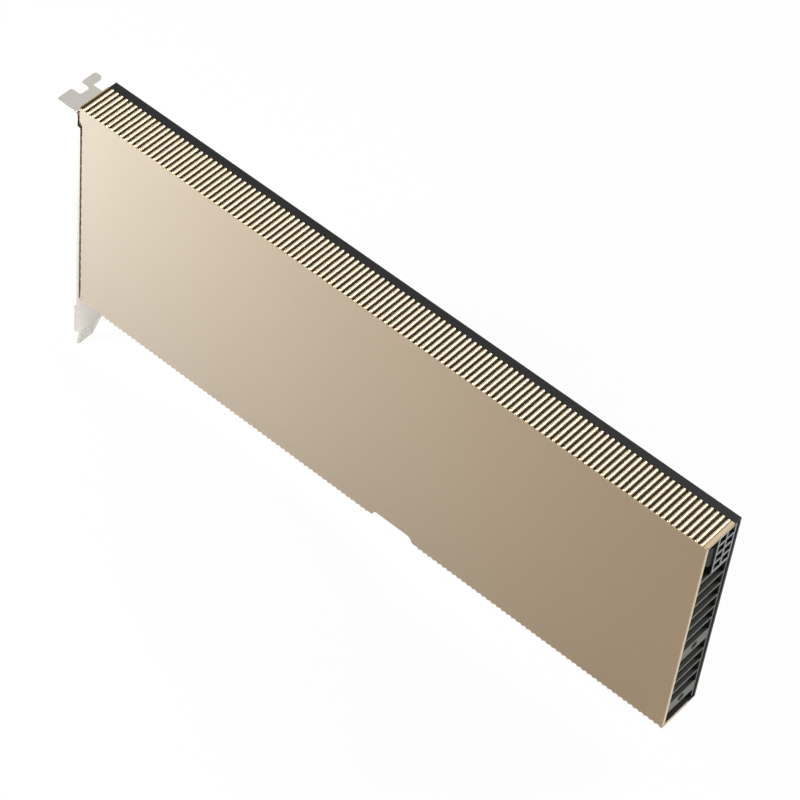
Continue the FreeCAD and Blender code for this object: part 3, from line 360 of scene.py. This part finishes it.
def lathe(work, rings, sides, centre):
    # rings of (radius, depth), turned about an axis along Y; a radius may be a function of the angle
    loops = []
    for radius, depth in rings:
        loop = []
        for k in range(sides):
            angle = math.tau * k / sides
            reach = radius(angle) if callable(radius) else radius
            x = centre[0] + reach * math.cos(angle)
            z = centre[1] + reach * math.sin(angle)
            loop.append(work.verts.new((x, depth, z)))
        loops.append(loop)
    made = [work.faces.new(loops[0]), work.faces.new(loops[-1][::-1])]
    for inner, outer in zip(loops, loops[1:]):
        for k in range(sides):
            after = (k + 1) % sides
            made.append(work.faces.new((inner[k], outer[k], outer[after], inner[after])))
    bmesh.ops.recalc_face_normals(work, faces=made)
    return made


def applied(thing, name):
    # turns what the modifiers make into a plain mesh and removes them
    graph = bpy.context.evaluated_depsgraph_get()
    mesh = bpy.data.meshes.new_from_object(thing.evaluated_get(graph))
    thing.modifiers.clear()
    thing.data = mesh
    mesh.name = name
    return thing


easeLook = {"segments": 2, "sharpAngle": 40, "flatAngle": 1, "merge": 0.001}


def softened(node, width, materials):
    # a copy of a CAD node with its sharp edges eased
    work = bmesh.new()
    work.from_mesh(nodes[node].data)
    bmesh.ops.remove_doubles(work, verts=work.verts, dist=easeLook["merge"] * mm)
    flat = math.radians(easeLook["flatAngle"])
    bmesh.ops.dissolve_limit(work, angle_limit=flat, verts=work.verts, edges=work.edges)
    if node == "frame_bars":
        countersink(work, node)
    thing = meshObject(node + "_eased", work, materials)
    bevel = thing.modifiers.new("eased", "BEVEL")
    bevel.width = width
    bevel.segments = easeLook["segments"]
    bevel.limit_method = "ANGLE"
    bevel.angle_limit = math.radians(easeLook["sharpAngle"])
    bevel.use_clamp_overlap = True
    bevel.harden_normals = False
    return applied(thing, thing.name)


def placed(thing, *replaced, slot=None):
    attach(thing, "root")
    if replaced:
        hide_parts(*replaced)
    slot or replaced[0]
    return thing


def wholeBox(*names):
    # the box round several CAD nodes
    corners = [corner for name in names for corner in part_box(name)]
    low = Vector(min(corner[axis] for corner in corners) for axis in range(3))
    high = Vector(max(corner[axis] for corner in corners) for axis in range(3))
    return low, high


def setInputs(modifier, values):
    # by each socket's identifier
    for item in modifier.node_group.interface.items_tree:
        if item.item_type == "SOCKET" and item.in_out == "INPUT" and item.name in values:
            modifier[item.identifier] = values[item.name]


def geometryTree(name, sockets):
    tree = bpy.data.node_groups.new(name, "GeometryNodeTree")
    tree.interface.new_socket("Geometry", in_out="INPUT", socket_type="NodeSocketGeometry")
    for label, kind in sockets:
        tree.interface.new_socket(label, in_out="INPUT", socket_type="NodeSocket" + kind)
    tree.interface.new_socket("Geometry", in_out="OUTPUT", socket_type="NodeSocketGeometry")
    graph = Graph(tree)
    entry = tree.nodes.new("NodeGroupInput")
    given = {socket.name: Value(graph, socket) for socket in entry.outputs if socket.name}
    return graph, given


def runTree(thing, graph, values):
    modifier = thing.modifiers.new(graph.tree.name, "NODES")
    modifier.node_group = graph.tree
    setInputs(modifier, values)
    return applied(thing, thing.name)


coverLook = {
    # sizes in millimetres
    "wall": 1.3,
    "edgeWall": 0.9,
    "ribRadius": 0.65,
    "groove": 0.8595,  # between two ribs
    "endRim": 0.41,  # flat before the first rib
    "rearRim": 1.2,  # flat after the last one
    "rimSunk": 0.3,
    "lugReach": 1.25,  # upper corner of the cover, ahead of its left edge
    "lugHeight": 6.5,
    "lugBevel": 1.8,
    "latchMiddle": 85.6,  # from the key slot
    "latchTop": 15.5,
    "latchMouth": 18.7,
    "latchDepth": 2.9,
    "latchCornerOut": 0.4,
    "latchCornerIn": 0.6,
    "latchCornerDrop": 0.7,
    "latchClear": 0.5,  # room kept free of ribs at each side
    "lap": 0.2,  # upper and lower walls into the front wall
    "clear": 0.004,  # ends of the ribs behind the cover's faces
    "faceBevel": 0.16,
    "shortEdge": 0.3,  # shorter edges stay sharp
    "ribWidest": 2.0,  # anything wider is no rib
    "ribSides": 28,
}

# the rearEnd slot holds a painted highlight; the inside and groove slots hold painted shade
coverSlots = {"face": 0, "rearEnd": 1, "inside": 2, "rim": 3, "groove": 4}


def ribTree():
    # two rows of round ribs, sunk to their middles in the cover's edges, with their front ends bevelled
    sockets = [("Radius", "Float"), ("Length", "Float"), ("Bevel", "Float"), ("Pitch", "Float")]
    sockets += [("Upper Count", "Int"), ("Lower Count", "Int"), ("Sides", "Int")]
    sockets += [("Upper Start", "Vector"), ("Lower Start", "Vector"), ("Finish", "Material")]
    graph, given = geometryTree("ribRows", sockets)
    turn = (math.pi / 2, 0.0, 0.0)
    straight = given["Length"] - given["Bevel"]
    rod = graph.add(
        "GeometryNodeMeshCylinder",
        {"fill_type": "NGON"},
        {"Vertices": given["Sides"], "Radius": given["Radius"], "Depth": straight},
    )
    rodPlace = graph.add("ShaderNodeCombineXYZ", {}, {1: given["Bevel"] + straight * 0.5})
    rod = graph.add("GeometryNodeTransform", {}, {0: rod, "Translation": rodPlace, "Rotation": turn})
    tip = graph.add(
        "GeometryNodeMeshCone",
        {"fill_type": "NGON"},
        {
            "Vertices": given["Sides"],
            "Radius Top": given["Radius"] - given["Bevel"],
            "Radius Bottom": given["Radius"],
            "Depth": given["Bevel"],
        },
    )
    tipPlace = graph.add("ShaderNodeCombineXYZ", {}, {1: given["Bevel"]})
    tip = graph.add("GeometryNodeTransform", {}, {0: tip, "Translation": tipPlace, "Rotation": turn})
    rib = graph.join(rod, tip)
    step = graph.add("ShaderNodeCombineXYZ", {}, {0: given["Pitch"]})
    rows = []
    for side in ("Upper", "Lower"):
        line = graph.add(
            "GeometryNodeMeshLine",
            {"mode": "OFFSET"},
            {"Count": given[side + " Count"], "Start Location": given[side + " Start"], "Offset": step},
        )
        rows.append(graph.add("GeometryNodeInstanceOnPoints", {}, {"Points": line, "Instance": rib}))
    ribs = graph.add("GeometryNodeRealizeInstances", {}, {0: graph.join(*rows)})
    ribs = graph.add("GeometryNodeSetMaterial", {}, {0: ribs, "Material": given["Finish"]})
    # the ends face along the ribs and stay flat
    facing = graph.add("ShaderNodeSeparateXYZ", {}, {0: graph.add("GeometryNodeInputNormal")}, out="Y")
    ends = facing * facing > 0.2
    ribs = graph.add("GeometryNodeSetShadeSmooth", {}, {0: ribs, "Selection": ends, "Shade Smooth": False})
    graph.add("NodeGroupOutput", {}, {0: graph.join(ribs, given["Geometry"])})
    return graph


def notchOutline(look, lowest, floor):
    # from left to right along the latch notch, with its upper corners cut; lowest is the ribs' crests
    middle, depth = look["latchMiddle"], look["latchDepth"]
    topHalf, mouthHalf = look["latchTop"] / 2, look["latchMouth"] / 2
    outHalf, inHalf = topHalf + look["latchCornerOut"], topHalf - look["latchCornerIn"]
    notchTop = lowest + depth
    # the slope of the notch's sides meets the groove floor a little above the crests
    mouthAtFloor = mouthHalf - (mouthHalf - topHalf) * look["ribRadius"] / depth
    return [
        (middle - mouthAtFloor, floor),
        (middle - outHalf, notchTop - look["latchCornerDrop"]),
        (middle - inHalf, notchTop),
        (middle + inHalf, notchTop),
        (middle + outHalf, notchTop - look["latchCornerDrop"]),
        (middle + mouthAtFloor, floor),
    ]


def easeFront(work, look, faceY):
    # eases the long edges round the cover's face
    edges = [edge for edge in work.edges if all(abs(vert.co.y - faceY) < 1e-7 for vert in edge.verts)]
    edges = [edge for edge in edges if edge.calc_length() > look["shortEdge"]]
    eased = bmesh.ops.bevel(work, geom=edges, offset=look["faceBevel"], segments=2, affect="EDGES")
    for face in eased["faces"]:
        face.material_index = coverSlots["rim"]


def makeCover():
    look = inMetres(coverLook, "ribSides")
    low, high = wholeBox("front_cover", "upper_rail", "lower_rail")
    lugX, rearX, faceY, backY = low.x, high.x, low.y, high.y
    cutX = lugX + look["lugReach"]
    roof, floor = high.z - look["ribRadius"], low.z + look["ribRadius"]
    innerTop, innerLow = roof - look["edgeWall"], floor + look["edgeWall"]
    insideY = faceY + look["wall"]
    notch = notchOutline(look, low.z, floor)
    work = bmesh.new()
    lug = [(lugX, roof), (lugX, high.z - look["lugHeight"])]
    lug.append((cutX, high.z - look["lugHeight"] - look["lugBevel"]))
    outline = lug + [(cutX, floor)] + notch + [(rearX, floor), (rearX, roof)]
    prism(work, outline, faceY, insideY)
    # upper and lower walls run on from the front wall
    start = insideY - look["lap"]
    prism(work, [(lugX, roof), (lugX, innerTop), (rearX, innerTop), (rearX, roof)], start, backY)
    wall, middle, notchTop = look["edgeWall"], look["latchMiddle"], low.z + look["latchDepth"]
    topHalf, mouthHalf = look["latchTop"] / 2, look["latchMouth"] / 2
    bump = [
        (middle + mouthHalf + wall, innerLow),
        (middle + topHalf + wall, notchTop + wall),
        (middle - topHalf - wall, notchTop + wall),
        (middle - mouthHalf - wall, innerLow),
    ]
    lower = [(cutX, floor)] + notch + [(rearX, floor), (rearX, innerLow)] + bump + [(cutX, innerLow)]
    prism(work, lower, start, backY)
    rim = look["endRim"]
    pitch = 2 * look["ribRadius"] + look["groove"]
    counts, starts = [], []
    for begin, base, crest in ((lugX, roof, high.z), (cutX, floor, low.z)):
        count = int((rearX - begin - rim - look["rearRim"]) / pitch)
        counts.append(count)
        firstRib = begin + rim + look["groove"] + look["ribRadius"]
        starts.append(Vector((firstRib, faceY + look["clear"], base)))
        sunk = look["rimSunk"] if crest > base else -look["rimSunk"]
        for left, right in ((begin, begin + rim), (rearX - look["rearRim"], rearX)):
            for face in prism(work, rectangle(left, base - sunk, right, crest), faceY, backY):
                face.material_index = coverSlots["rim"]
    work.normal_update()
    easeFront(work, look, faceY)
    # painted highlight on the rear end, painted shade on the inside faces and on the groove floors
    for face in work.faces:
        spot = face.calc_center_median()
        inside = insideY - 1e-6 < spot.y < backY - 1e-5 and innerLow - 1e-5 <= spot.z <= innerTop + 1e-5
        onGroove = abs(face.normal.z) > 0.9 and (abs(spot.z - roof) < 1e-6 or abs(spot.z - floor) < 1e-6)
        if face.normal.x > 0.9 and spot.x > rearX - 1e-5:
            face.material_index = coverSlots["rearEnd"]
        elif inside and abs(face.normal.x) < 0.9:
            face.material_index = coverSlots["inside"]
        elif onGroove:
            face.material_index = coverSlots["groove"]
    thing = meshObject("fluted_cover", work, [gold, endHighlightGold, insideBlack, fluted, grooveBrown])
    values = {
        "Radius": look["ribRadius"],
        "Length": backY - faceY - 2 * look["clear"],
        "Bevel": look["faceBevel"],
        "Pitch": pitch,
        "Upper Count": counts[0],
        "Lower Count": counts[1],
        "Sides": look["ribSides"],
        "Upper Start": starts[0],
        "Lower Start": starts[1],
        "Finish": fluted,
    }
    thing = runTree(thing, ribTree(), values)
    clearNotch(thing, look, low.z)
    return placed(thing, "front_cover", "upper_rail", "lower_rail")


def islands(work):
    # the loose pieces of a mesh, each as a list of its vertices
    seen = set()
    for vert in work.verts:
        if vert in seen:
            continue
        island, queue = [], [vert]
        seen.add(vert)
        while queue:
            here = queue.pop()
            island.append(here)
            for edge in here.link_edges:
                other = edge.other_vert(here)
                if other not in seen:
                    seen.add(other)
                    queue.append(other)
        yield island


def clearNotch(thing, look, lowest):
    # takes away the ribs that would hang across the latch notch
    work = bmesh.new()
    work.from_mesh(thing.data)
    reach = look["latchMouth"] / 2 + look["latchClear"]
    left, right = look["latchMiddle"] - reach, look["latchMiddle"] + reach
    doomed = []
    for island in islands(work):
        xs = [vert.co.x for vert in island]
        highest = max(vert.co.z for vert in island)
        isRib = max(xs) - min(xs) < look["ribWidest"] and highest < lowest + look["ribWidest"]
        if isRib and max(xs) > left and min(xs) < right:
            doomed += island
    bmesh.ops.delete(work, geom=doomed, context="VERTS")
    work.to_mesh(thing.data)
    work.free()


screwLook = {
    # sizes in millimetres, and one share of the shank's radius
    "headRadius": 2.25,
    "shankRadius": 1.2,
    "recessRadius": 0.86,
    "lobe": 0.17,
    "recessDepth": 0.7,
    "rim": 0.06,
    "neck": 0.2,
    "step": 0.05,
    "point": 0.3,
    "pointShare": 0.75,
    "sides": 36,
}

# radius to the corners of each CAD piece on a grid, in millimetres
gridLook = {"board_screws": 2.31, "heatsink_screws": 2.31, "frame_screws": 2.31, "cover_standoffs": 2.2}


def gridTree():
    # copies one piece to every point of an upright grid
    sockets = [("Columns", "Int"), ("Rows", "Int"), ("Width", "Float"), ("Height", "Float")]
    sockets += [("Centre", "Vector"), ("Finish", "Material")]
    graph, given = geometryTree("uprightGrid", sockets)
    points = graph.add(
        "GeometryNodeMeshGrid",
        {},
        {
            "Size X": given["Width"],
            "Size Y": given["Height"],
            "Vertices X": given["Columns"],
            "Vertices Y": given["Rows"],
        },
    )
    turned = {0: points, "Translation": given["Centre"], "Rotation": (math.pi / 2, 0.0, 0.0)}
    points = graph.add("GeometryNodeTransform", {}, turned)
    made = graph.add("GeometryNodeInstanceOnPoints", {}, {"Points": points, "Instance": given["Geometry"]})
    made = graph.add("GeometryNodeRealizeInstances", {}, {0: made})
    made = graph.add("GeometryNodeSetMaterial", {}, {0: made, "Material": given["Finish"]})
    graph.add("NodeGroupOutput", {}, {0: made})
    return graph


def makeScrews(name, node, columns, rows, finish, graph):
    # countersunk heads with a six-lobed recess
    look = inMetres(screwLook, "pointShare", "sides")
    low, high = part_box(node)

    def lobed(angle):
        return look["recessRadius"] + look["lobe"] * math.cos(6 * angle)

    top, rim = high.y, look["rim"]
    cone = look["headRadius"] - look["shankRadius"] - look["neck"]
    rings = [
        (lobed, top - look["recessDepth"]),
        (lobed, top),
        (look["headRadius"] - rim, top),
        (look["headRadius"] - rim / 2, top - rim),
        (look["headRadius"] - cone, top - cone),
        (look["shankRadius"], top - cone - look["step"]),
        (look["shankRadius"], low.y + look["point"]),
        (look["shankRadius"] * look["pointShare"], low.y),
    ]
    work = bmesh.new()
    lathe(work, rings, look["sides"], (0, 0))
    thing = meshObject(name, work, [finish])
    return onGrid(thing, node, columns, rows, finish, graph)


def onGrid(thing, node, columns, rows, finish, graph):
    # the CAD pieces have eight sides, so their box is a little narrower than the circle round them
    low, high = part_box(node)
    flat = gridLook[node] * mm * math.cos(math.pi / 8)
    centre = (low + high) / 2
    values = {
        "Columns": columns,
        "Rows": rows,
        "Width": high.x - low.x - 2 * flat,
        "Height": high.z - low.z - 2 * flat,
        "Centre": Vector((centre.x, 0, centre.z)),
        "Finish": finish,
    }
    return placed(runTree(thing, graph, values), node)


postLook = {
    # sizes in millimetres, and shares of the radii at the ends
    "radius": 2.2,
    "frontShare": 0.9,
    "backShare": 0.92,
    "bevel": 0.2,
    "tapRadius": 1.25,
    "mouthShare": 1.1,
    "mouthDepth": 0.3,
    "tapDepth": 6.0,
    "sides": 28,
}


def makeStandoffs(graph):
    # tapped posts between the cover and the board
    look = inMetres(postLook, "frontShare", "backShare", "mouthShare", "sides")
    low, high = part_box("cover_standoffs")
    rings = [
        (look["radius"] * look["frontShare"], low.y),
        (look["radius"], low.y + look["bevel"]),
        (look["radius"], high.y - look["bevel"]),
        (look["radius"] * look["backShare"], high.y),
        (look["tapRadius"] * look["mouthShare"], high.y),
        (look["tapRadius"], high.y - look["mouthDepth"]),
        (look["tapRadius"], high.y - look["tapDepth"]),
    ]
    work = bmesh.new()
    lathe(work, rings, look["sides"], (0, 0))
    return onGrid(meshObject("cover_posts", work, [paleSteel]), "cover_standoffs", 3, 2, paleSteel, graph)


makeCover()
print("stage: cover made")

gridGraph = gridTree()
makeScrews("plate_screws", "board_screws", 3, 2, blackSteel, gridGraph)
makeScrews("post_screws", "heatsink_screws", 2, 2, paleSteel, gridGraph)
makeScrews("end_screws", "frame_screws", 1, 2, blackSteel, gridGraph)
makeStandoffs(gridGraph)
print("stage: screws made")


easedLook = {
    # how far each piece's sharp edges are eased, in millimetres
    "mounting_bracket": 0.09,
    "back_plate": 0.08,
    "rear_frame": 0.07,
    "guide_vanes": 0.06,
    "frame_bars": 0.08,
    "power_connector": 0.07,
    "circuit_board": 0.05,
}

# the rim colour is a painted highlight on the faces at the plug's mouth
plugLook = {"rim": rgb(150, 150, 150), "body": rgb(22, 22, 23), "roughness": 0.42, "rimDepth": 0.25}


def plugPlastic():
    # black moulding with a painted highlight on the rims at its mouth
    finish = Finish("plugPlastic")
    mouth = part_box("power_connector")[1].x - plugLook["rimDepth"] * mm
    # painted highlight on the faces nearest the mouth
    rim = finish.along("X") > mouth
    speckle = finish.noise(0.0005, 2.0)
    return finish.surface(
        Base_Color=finish.blend(rim * (0.75 + speckle * 0.25), plugLook["body"], plugLook["rim"]),
        Roughness=plugLook["roughness"] + (speckle - 0.5) * 0.1,
    )


frameLook = {
    # the mouth colour is a painted highlight on the ends that face out of the card
    "mouth": rgb(104, 108, 100),
    "body": rgb(34, 35, 32),
    "roughness": 0.5,
    "mouthDepth": 0.12,
    "sink": 0.5,
    "longestRim": 0.6,
}


def framePaint():
    # dark grey casting, with a speckled painted highlight on the ends that face out of the card
    finish = Finish("framePaint")
    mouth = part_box("guide_vanes")[1].x - frameLook["mouthDepth"] * mm
    speckle = finish.noise(0.0004, 2.0)
    paintedLitEnds = (finish.along("X") > mouth) * (0.7 + speckle * 0.5)
    return finish.surface(
        Base_Color=finish.blend(paintedLitEnds, frameLook["body"], frameLook["mouth"]),
        Roughness=frameLook["roughness"] + (speckle - 0.5) * 0.1,
        Normal=finish.bump(speckle, 0.00001, 0.3),
    )


frameGrey = framePaint()


def countersink(work, node):
    # slopes the mouths of the holes in a piece's rear end
    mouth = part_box(node)[1].x
    rims = [edge for edge in work.edges if all(abs(vert.co.x - mouth) < 1e-6 for vert in edge.verts)]
    rims = [edge for edge in rims if edge.calc_length() < frameLook["longestRim"] * mm]
    bmesh.ops.bevel(work, geom=rims, offset=frameLook["sink"] * mm, segments=1, affect="EDGES")


def makeEased():
    finishes = {
        "mounting_bracket": nickel,
        "back_plate": plateBlack,
        "rear_frame": frameGrey,
        "guide_vanes": frameGrey,
        "frame_bars": frameGrey,
        "power_connector": plugPlastic(),
        "circuit_board": boardMask(),
    }
    for node, width in easedLook.items():
        placed(softened(node, width * mm, [finishes[node]]), node)


makeEased()
print("stage: bracket, plate, frame and connector made")


threadLook = {"radius": 1.235, "rise": 0.16, "pitch": 0.5, "depth": 6.5, "start": 0.3}


def threadTree():
    sockets = [("Radius", "Float"), ("Turns", "Float"), ("Depth", "Float"), ("Rise", "Float")]
    sockets += [("Lower Place", "Vector"), ("Upper Place", "Vector"), ("Finish", "Material")]
    graph, given = geometryTree("threadTurns", sockets)
    path = graph.add(
        "GeometryNodeCurveSpiral",
        {},
        {
            "Resolution": 20,
            "Rotations": given["Turns"],
            "Start Radius": given["Radius"],
            "End Radius": given["Radius"],
            "Height": given["Depth"],
        },
    )
    profile = graph.add(
        "GeometryNodeCurvePrimitiveCircle",
        {"mode": "RADIUS"},
        {"Resolution": 4, "Radius": given["Rise"]},
    )
    coil = graph.add(
        "GeometryNodeCurveToMesh", {}, {"Curve": path, "Profile Curve": profile, "Fill Caps": True}
    )
    coils = []
    for place in ("Lower Place", "Upper Place"):
        turned = {0: coil, "Translation": given[place], "Rotation": (0.0, -math.pi / 2, 0.0)}
        coils.append(graph.add("GeometryNodeTransform", {}, turned))
    made = graph.add("GeometryNodeRealizeInstances", {}, {0: graph.join(*coils)})
    made = graph.add("GeometryNodeSetMaterial", {}, {0: made, "Material": given["Finish"]})
    graph.add("NodeGroupOutput", {}, {0: made})
    return graph


def makeThreads():
    mounts = {mount["name"]: mount for mount in frame["record"]["mounts"]}
    lower = Vector(mounts["extension_hole_lower"]["pos_m"])
    upper = Vector(mounts["extension_hole_upper"]["pos_m"])
    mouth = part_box("frame_bars")[1].x - threadLook["start"] * mm
    lower.x = upper.x = mouth
    thing = meshObject("hole_threads", bmesh.new(), [frameGrey])
    values = {
        "Radius": threadLook["radius"] * mm,
        "Turns": threadLook["depth"] / threadLook["pitch"],
        "Depth": threadLook["depth"] * mm,
        "Rise": threadLook["rise"] * mm,
        "Lower Place": lower,
        "Upper Place": upper,
        "Finish": frameGrey,
    }
    return placed(runTree(thing, threadTree(), values), slot="frame_bars")


makeThreads()
print("stage: threads made")


def paintNodes():
    chipBlack = plastic("chipBlack", rgb(34, 34, 36), 0.55)
    softPad = plastic("softPad", rgb(128, 136, 156), 0.8)
    looks = {
        "power_terminals": tinned,
        "edge_contacts": goldFlash,
        "processor_substrate": plastic("laminate", rgb(46, 92, 62), 0.45),
        "package_frame": paleSteel,
        "processor_die": plastic("silicon", rgb(64, 66, 74), 0.12, 0.6),
        "thermal_paste": plastic("paste", rgb(168, 168, 170), 0.6),
        "memory_chips": chipBlack,
        "memory_pads": softPad,
        "power_stages": chipBlack,
        "power_stage_pads": softPad,
        "power_inductors": plastic("ironPowder", rgb(84, 84, 87), 0.7),
        "bulk_capacitors": plastic("tantalum", rgb(196, 148, 60), 0.5),
        "control_chips": chipBlack,
        "back_capacitors": plastic("ceramic", rgb(150, 116, 84), 0.5),
        "heatsink_base": milled,
        "heatsink_fins": milled,
        "insulating_film": plastic("film", rgb(40, 40, 42), 0.25),
        "back_spacers": plastic("nylon", rgb(58, 58, 60), 0.5),
        "bracket_screws": paleSteel,
    }
    for node, finish in looks.items():
        nodes[node].material_slots[0].material = finish


paintNodes()
print("stage: plain pieces finished")


viewLook = {
    # place in millimetres, turn in degrees about X, then Y, then Z
    "place": (471.75, -561.64, 856.77),
    "turn": (40.644, -4.7437, 40.9524),
    "lens": 142.776,
    "sensor": 36.0,
}


def makeCamera():
    data = bpy.data.cameras.new("camera")
    data.sensor_width = viewLook["sensor"]
    data.lens = viewLook["lens"]
    data.clip_start, data.clip_end = 0.01, 20.0
    camera = bpy.data.objects.new("camera", data)
    bpy.context.scene.collection.objects.link(camera)
    camera.location = Vector(viewLook["place"]) * mm
    camera.rotation_euler = [math.radians(angle) for angle in viewLook["turn"]]
    bpy.context.scene.camera = camera


stageLook = {
    # floor in metres, then the share of white that each kind of ray sees
    "floorDrop": 0.0003,
    "floorSize": 6.0,
    "floorColour": (0.86, 0.86, 0.86, 1.0),
    "ambient": 0.14,
    "cameraShare": 0.95,
    "glossyShare": 0.35,
    "glossyRoom": 0.72,
}

lampLook = {
    # name: (place, aims at, size, watts), in metres
    "leftKey": ((-0.25, -0.32, 0.36), (0.0, 0.0, 0.08), 0.22, 1.85),
    "frontPool": ((-0.24, -0.24, 0.16), (-0.16, -0.12, 0.0), 0.14, 0.9),
    "ribGlint": ((0.46, 0.53, 0.84), (0.05, 0.0, 0.1), 0.42, 8.0),
    "rearFill": ((0.75, -0.25, 0.45), (0.15, 0.0, 0.05), 0.4, 1.0),
}


def makeFloor():
    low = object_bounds()[0]
    work = bmesh.new()
    half = stageLook["floorSize"] / 2
    level = low.z - stageLook["floorDrop"]
    work.faces.new([work.verts.new((x, y, level)) for x, y in rectangle(-half, -half, half, half)])
    finish = Finish("floorPaper")
    paper = finish.add("ShaderNodeBsdfDiffuse", {}, {"Color": stageLook["floorColour"]})
    white = finish.add("ShaderNodeEmission", {}, {"Color": (1, 1, 1, 1), "Strength": 1.0})
    camera = finish.add("ShaderNodeLightPath", out="Is Camera Ray")
    glossy = finish.add("ShaderNodeLightPath", out="Is Glossy Ray")
    through = finish.add("ShaderNodeLightPath", out="Is Transmission Ray")
    share = camera * stageLook["cameraShare"] + (glossy + through) * stageLook["glossyShare"]
    mixed = finish.add("ShaderNodeMixShader", {}, {0: share, 1: paper, 2: white})
    finish.add("ShaderNodeOutputMaterial", {}, {"Surface": mixed})
    meshObject("floor", work, [finish.material])


def makeWorld():
    world = bpy.data.worlds.new("softRoom")
    world.use_nodes = True
    graph = Graph(world.node_tree)
    world.node_tree.nodes.clear()
    camera = graph.add("ShaderNodeLightPath", out="Is Camera Ray")
    glossy = graph.add("ShaderNodeLightPath", out="Is Glossy Ray")
    through = graph.add("ShaderNodeLightPath", out="Is Transmission Ray")
    seen = camera + (glossy + through) * stageLook["glossyRoom"]
    strength = seen * (1 - stageLook["ambient"]) + stageLook["ambient"]
    light = graph.add("ShaderNodeBackground", {}, {"Color": (1, 1, 1, 1), "Strength": strength})
    graph.add("ShaderNodeOutputWorld", {}, {"Surface": light})
    bpy.context.scene.world = world


def makeLamps():
    for name, (place, target, size, watts) in lampLook.items():
        data = bpy.data.lights.new(name, "AREA")
        data.shape = "SQUARE"
        data.size = size
        data.energy = watts
        lamp = bpy.data.objects.new(name, data)
        bpy.context.scene.collection.objects.link(lamp)
        lamp.location = place
        aim = Vector(target) - Vector(place)
        lamp.rotation_mode = "QUATERNION"
        lamp.rotation_quaternion = aim.to_track_quat("-Z", "Y")


makeCamera()
makeFloor()
makeWorld()
makeLamps()
bpy.context.scene.view_settings.view_transform = "Standard"
print("stage: camera, floor and lamps made")
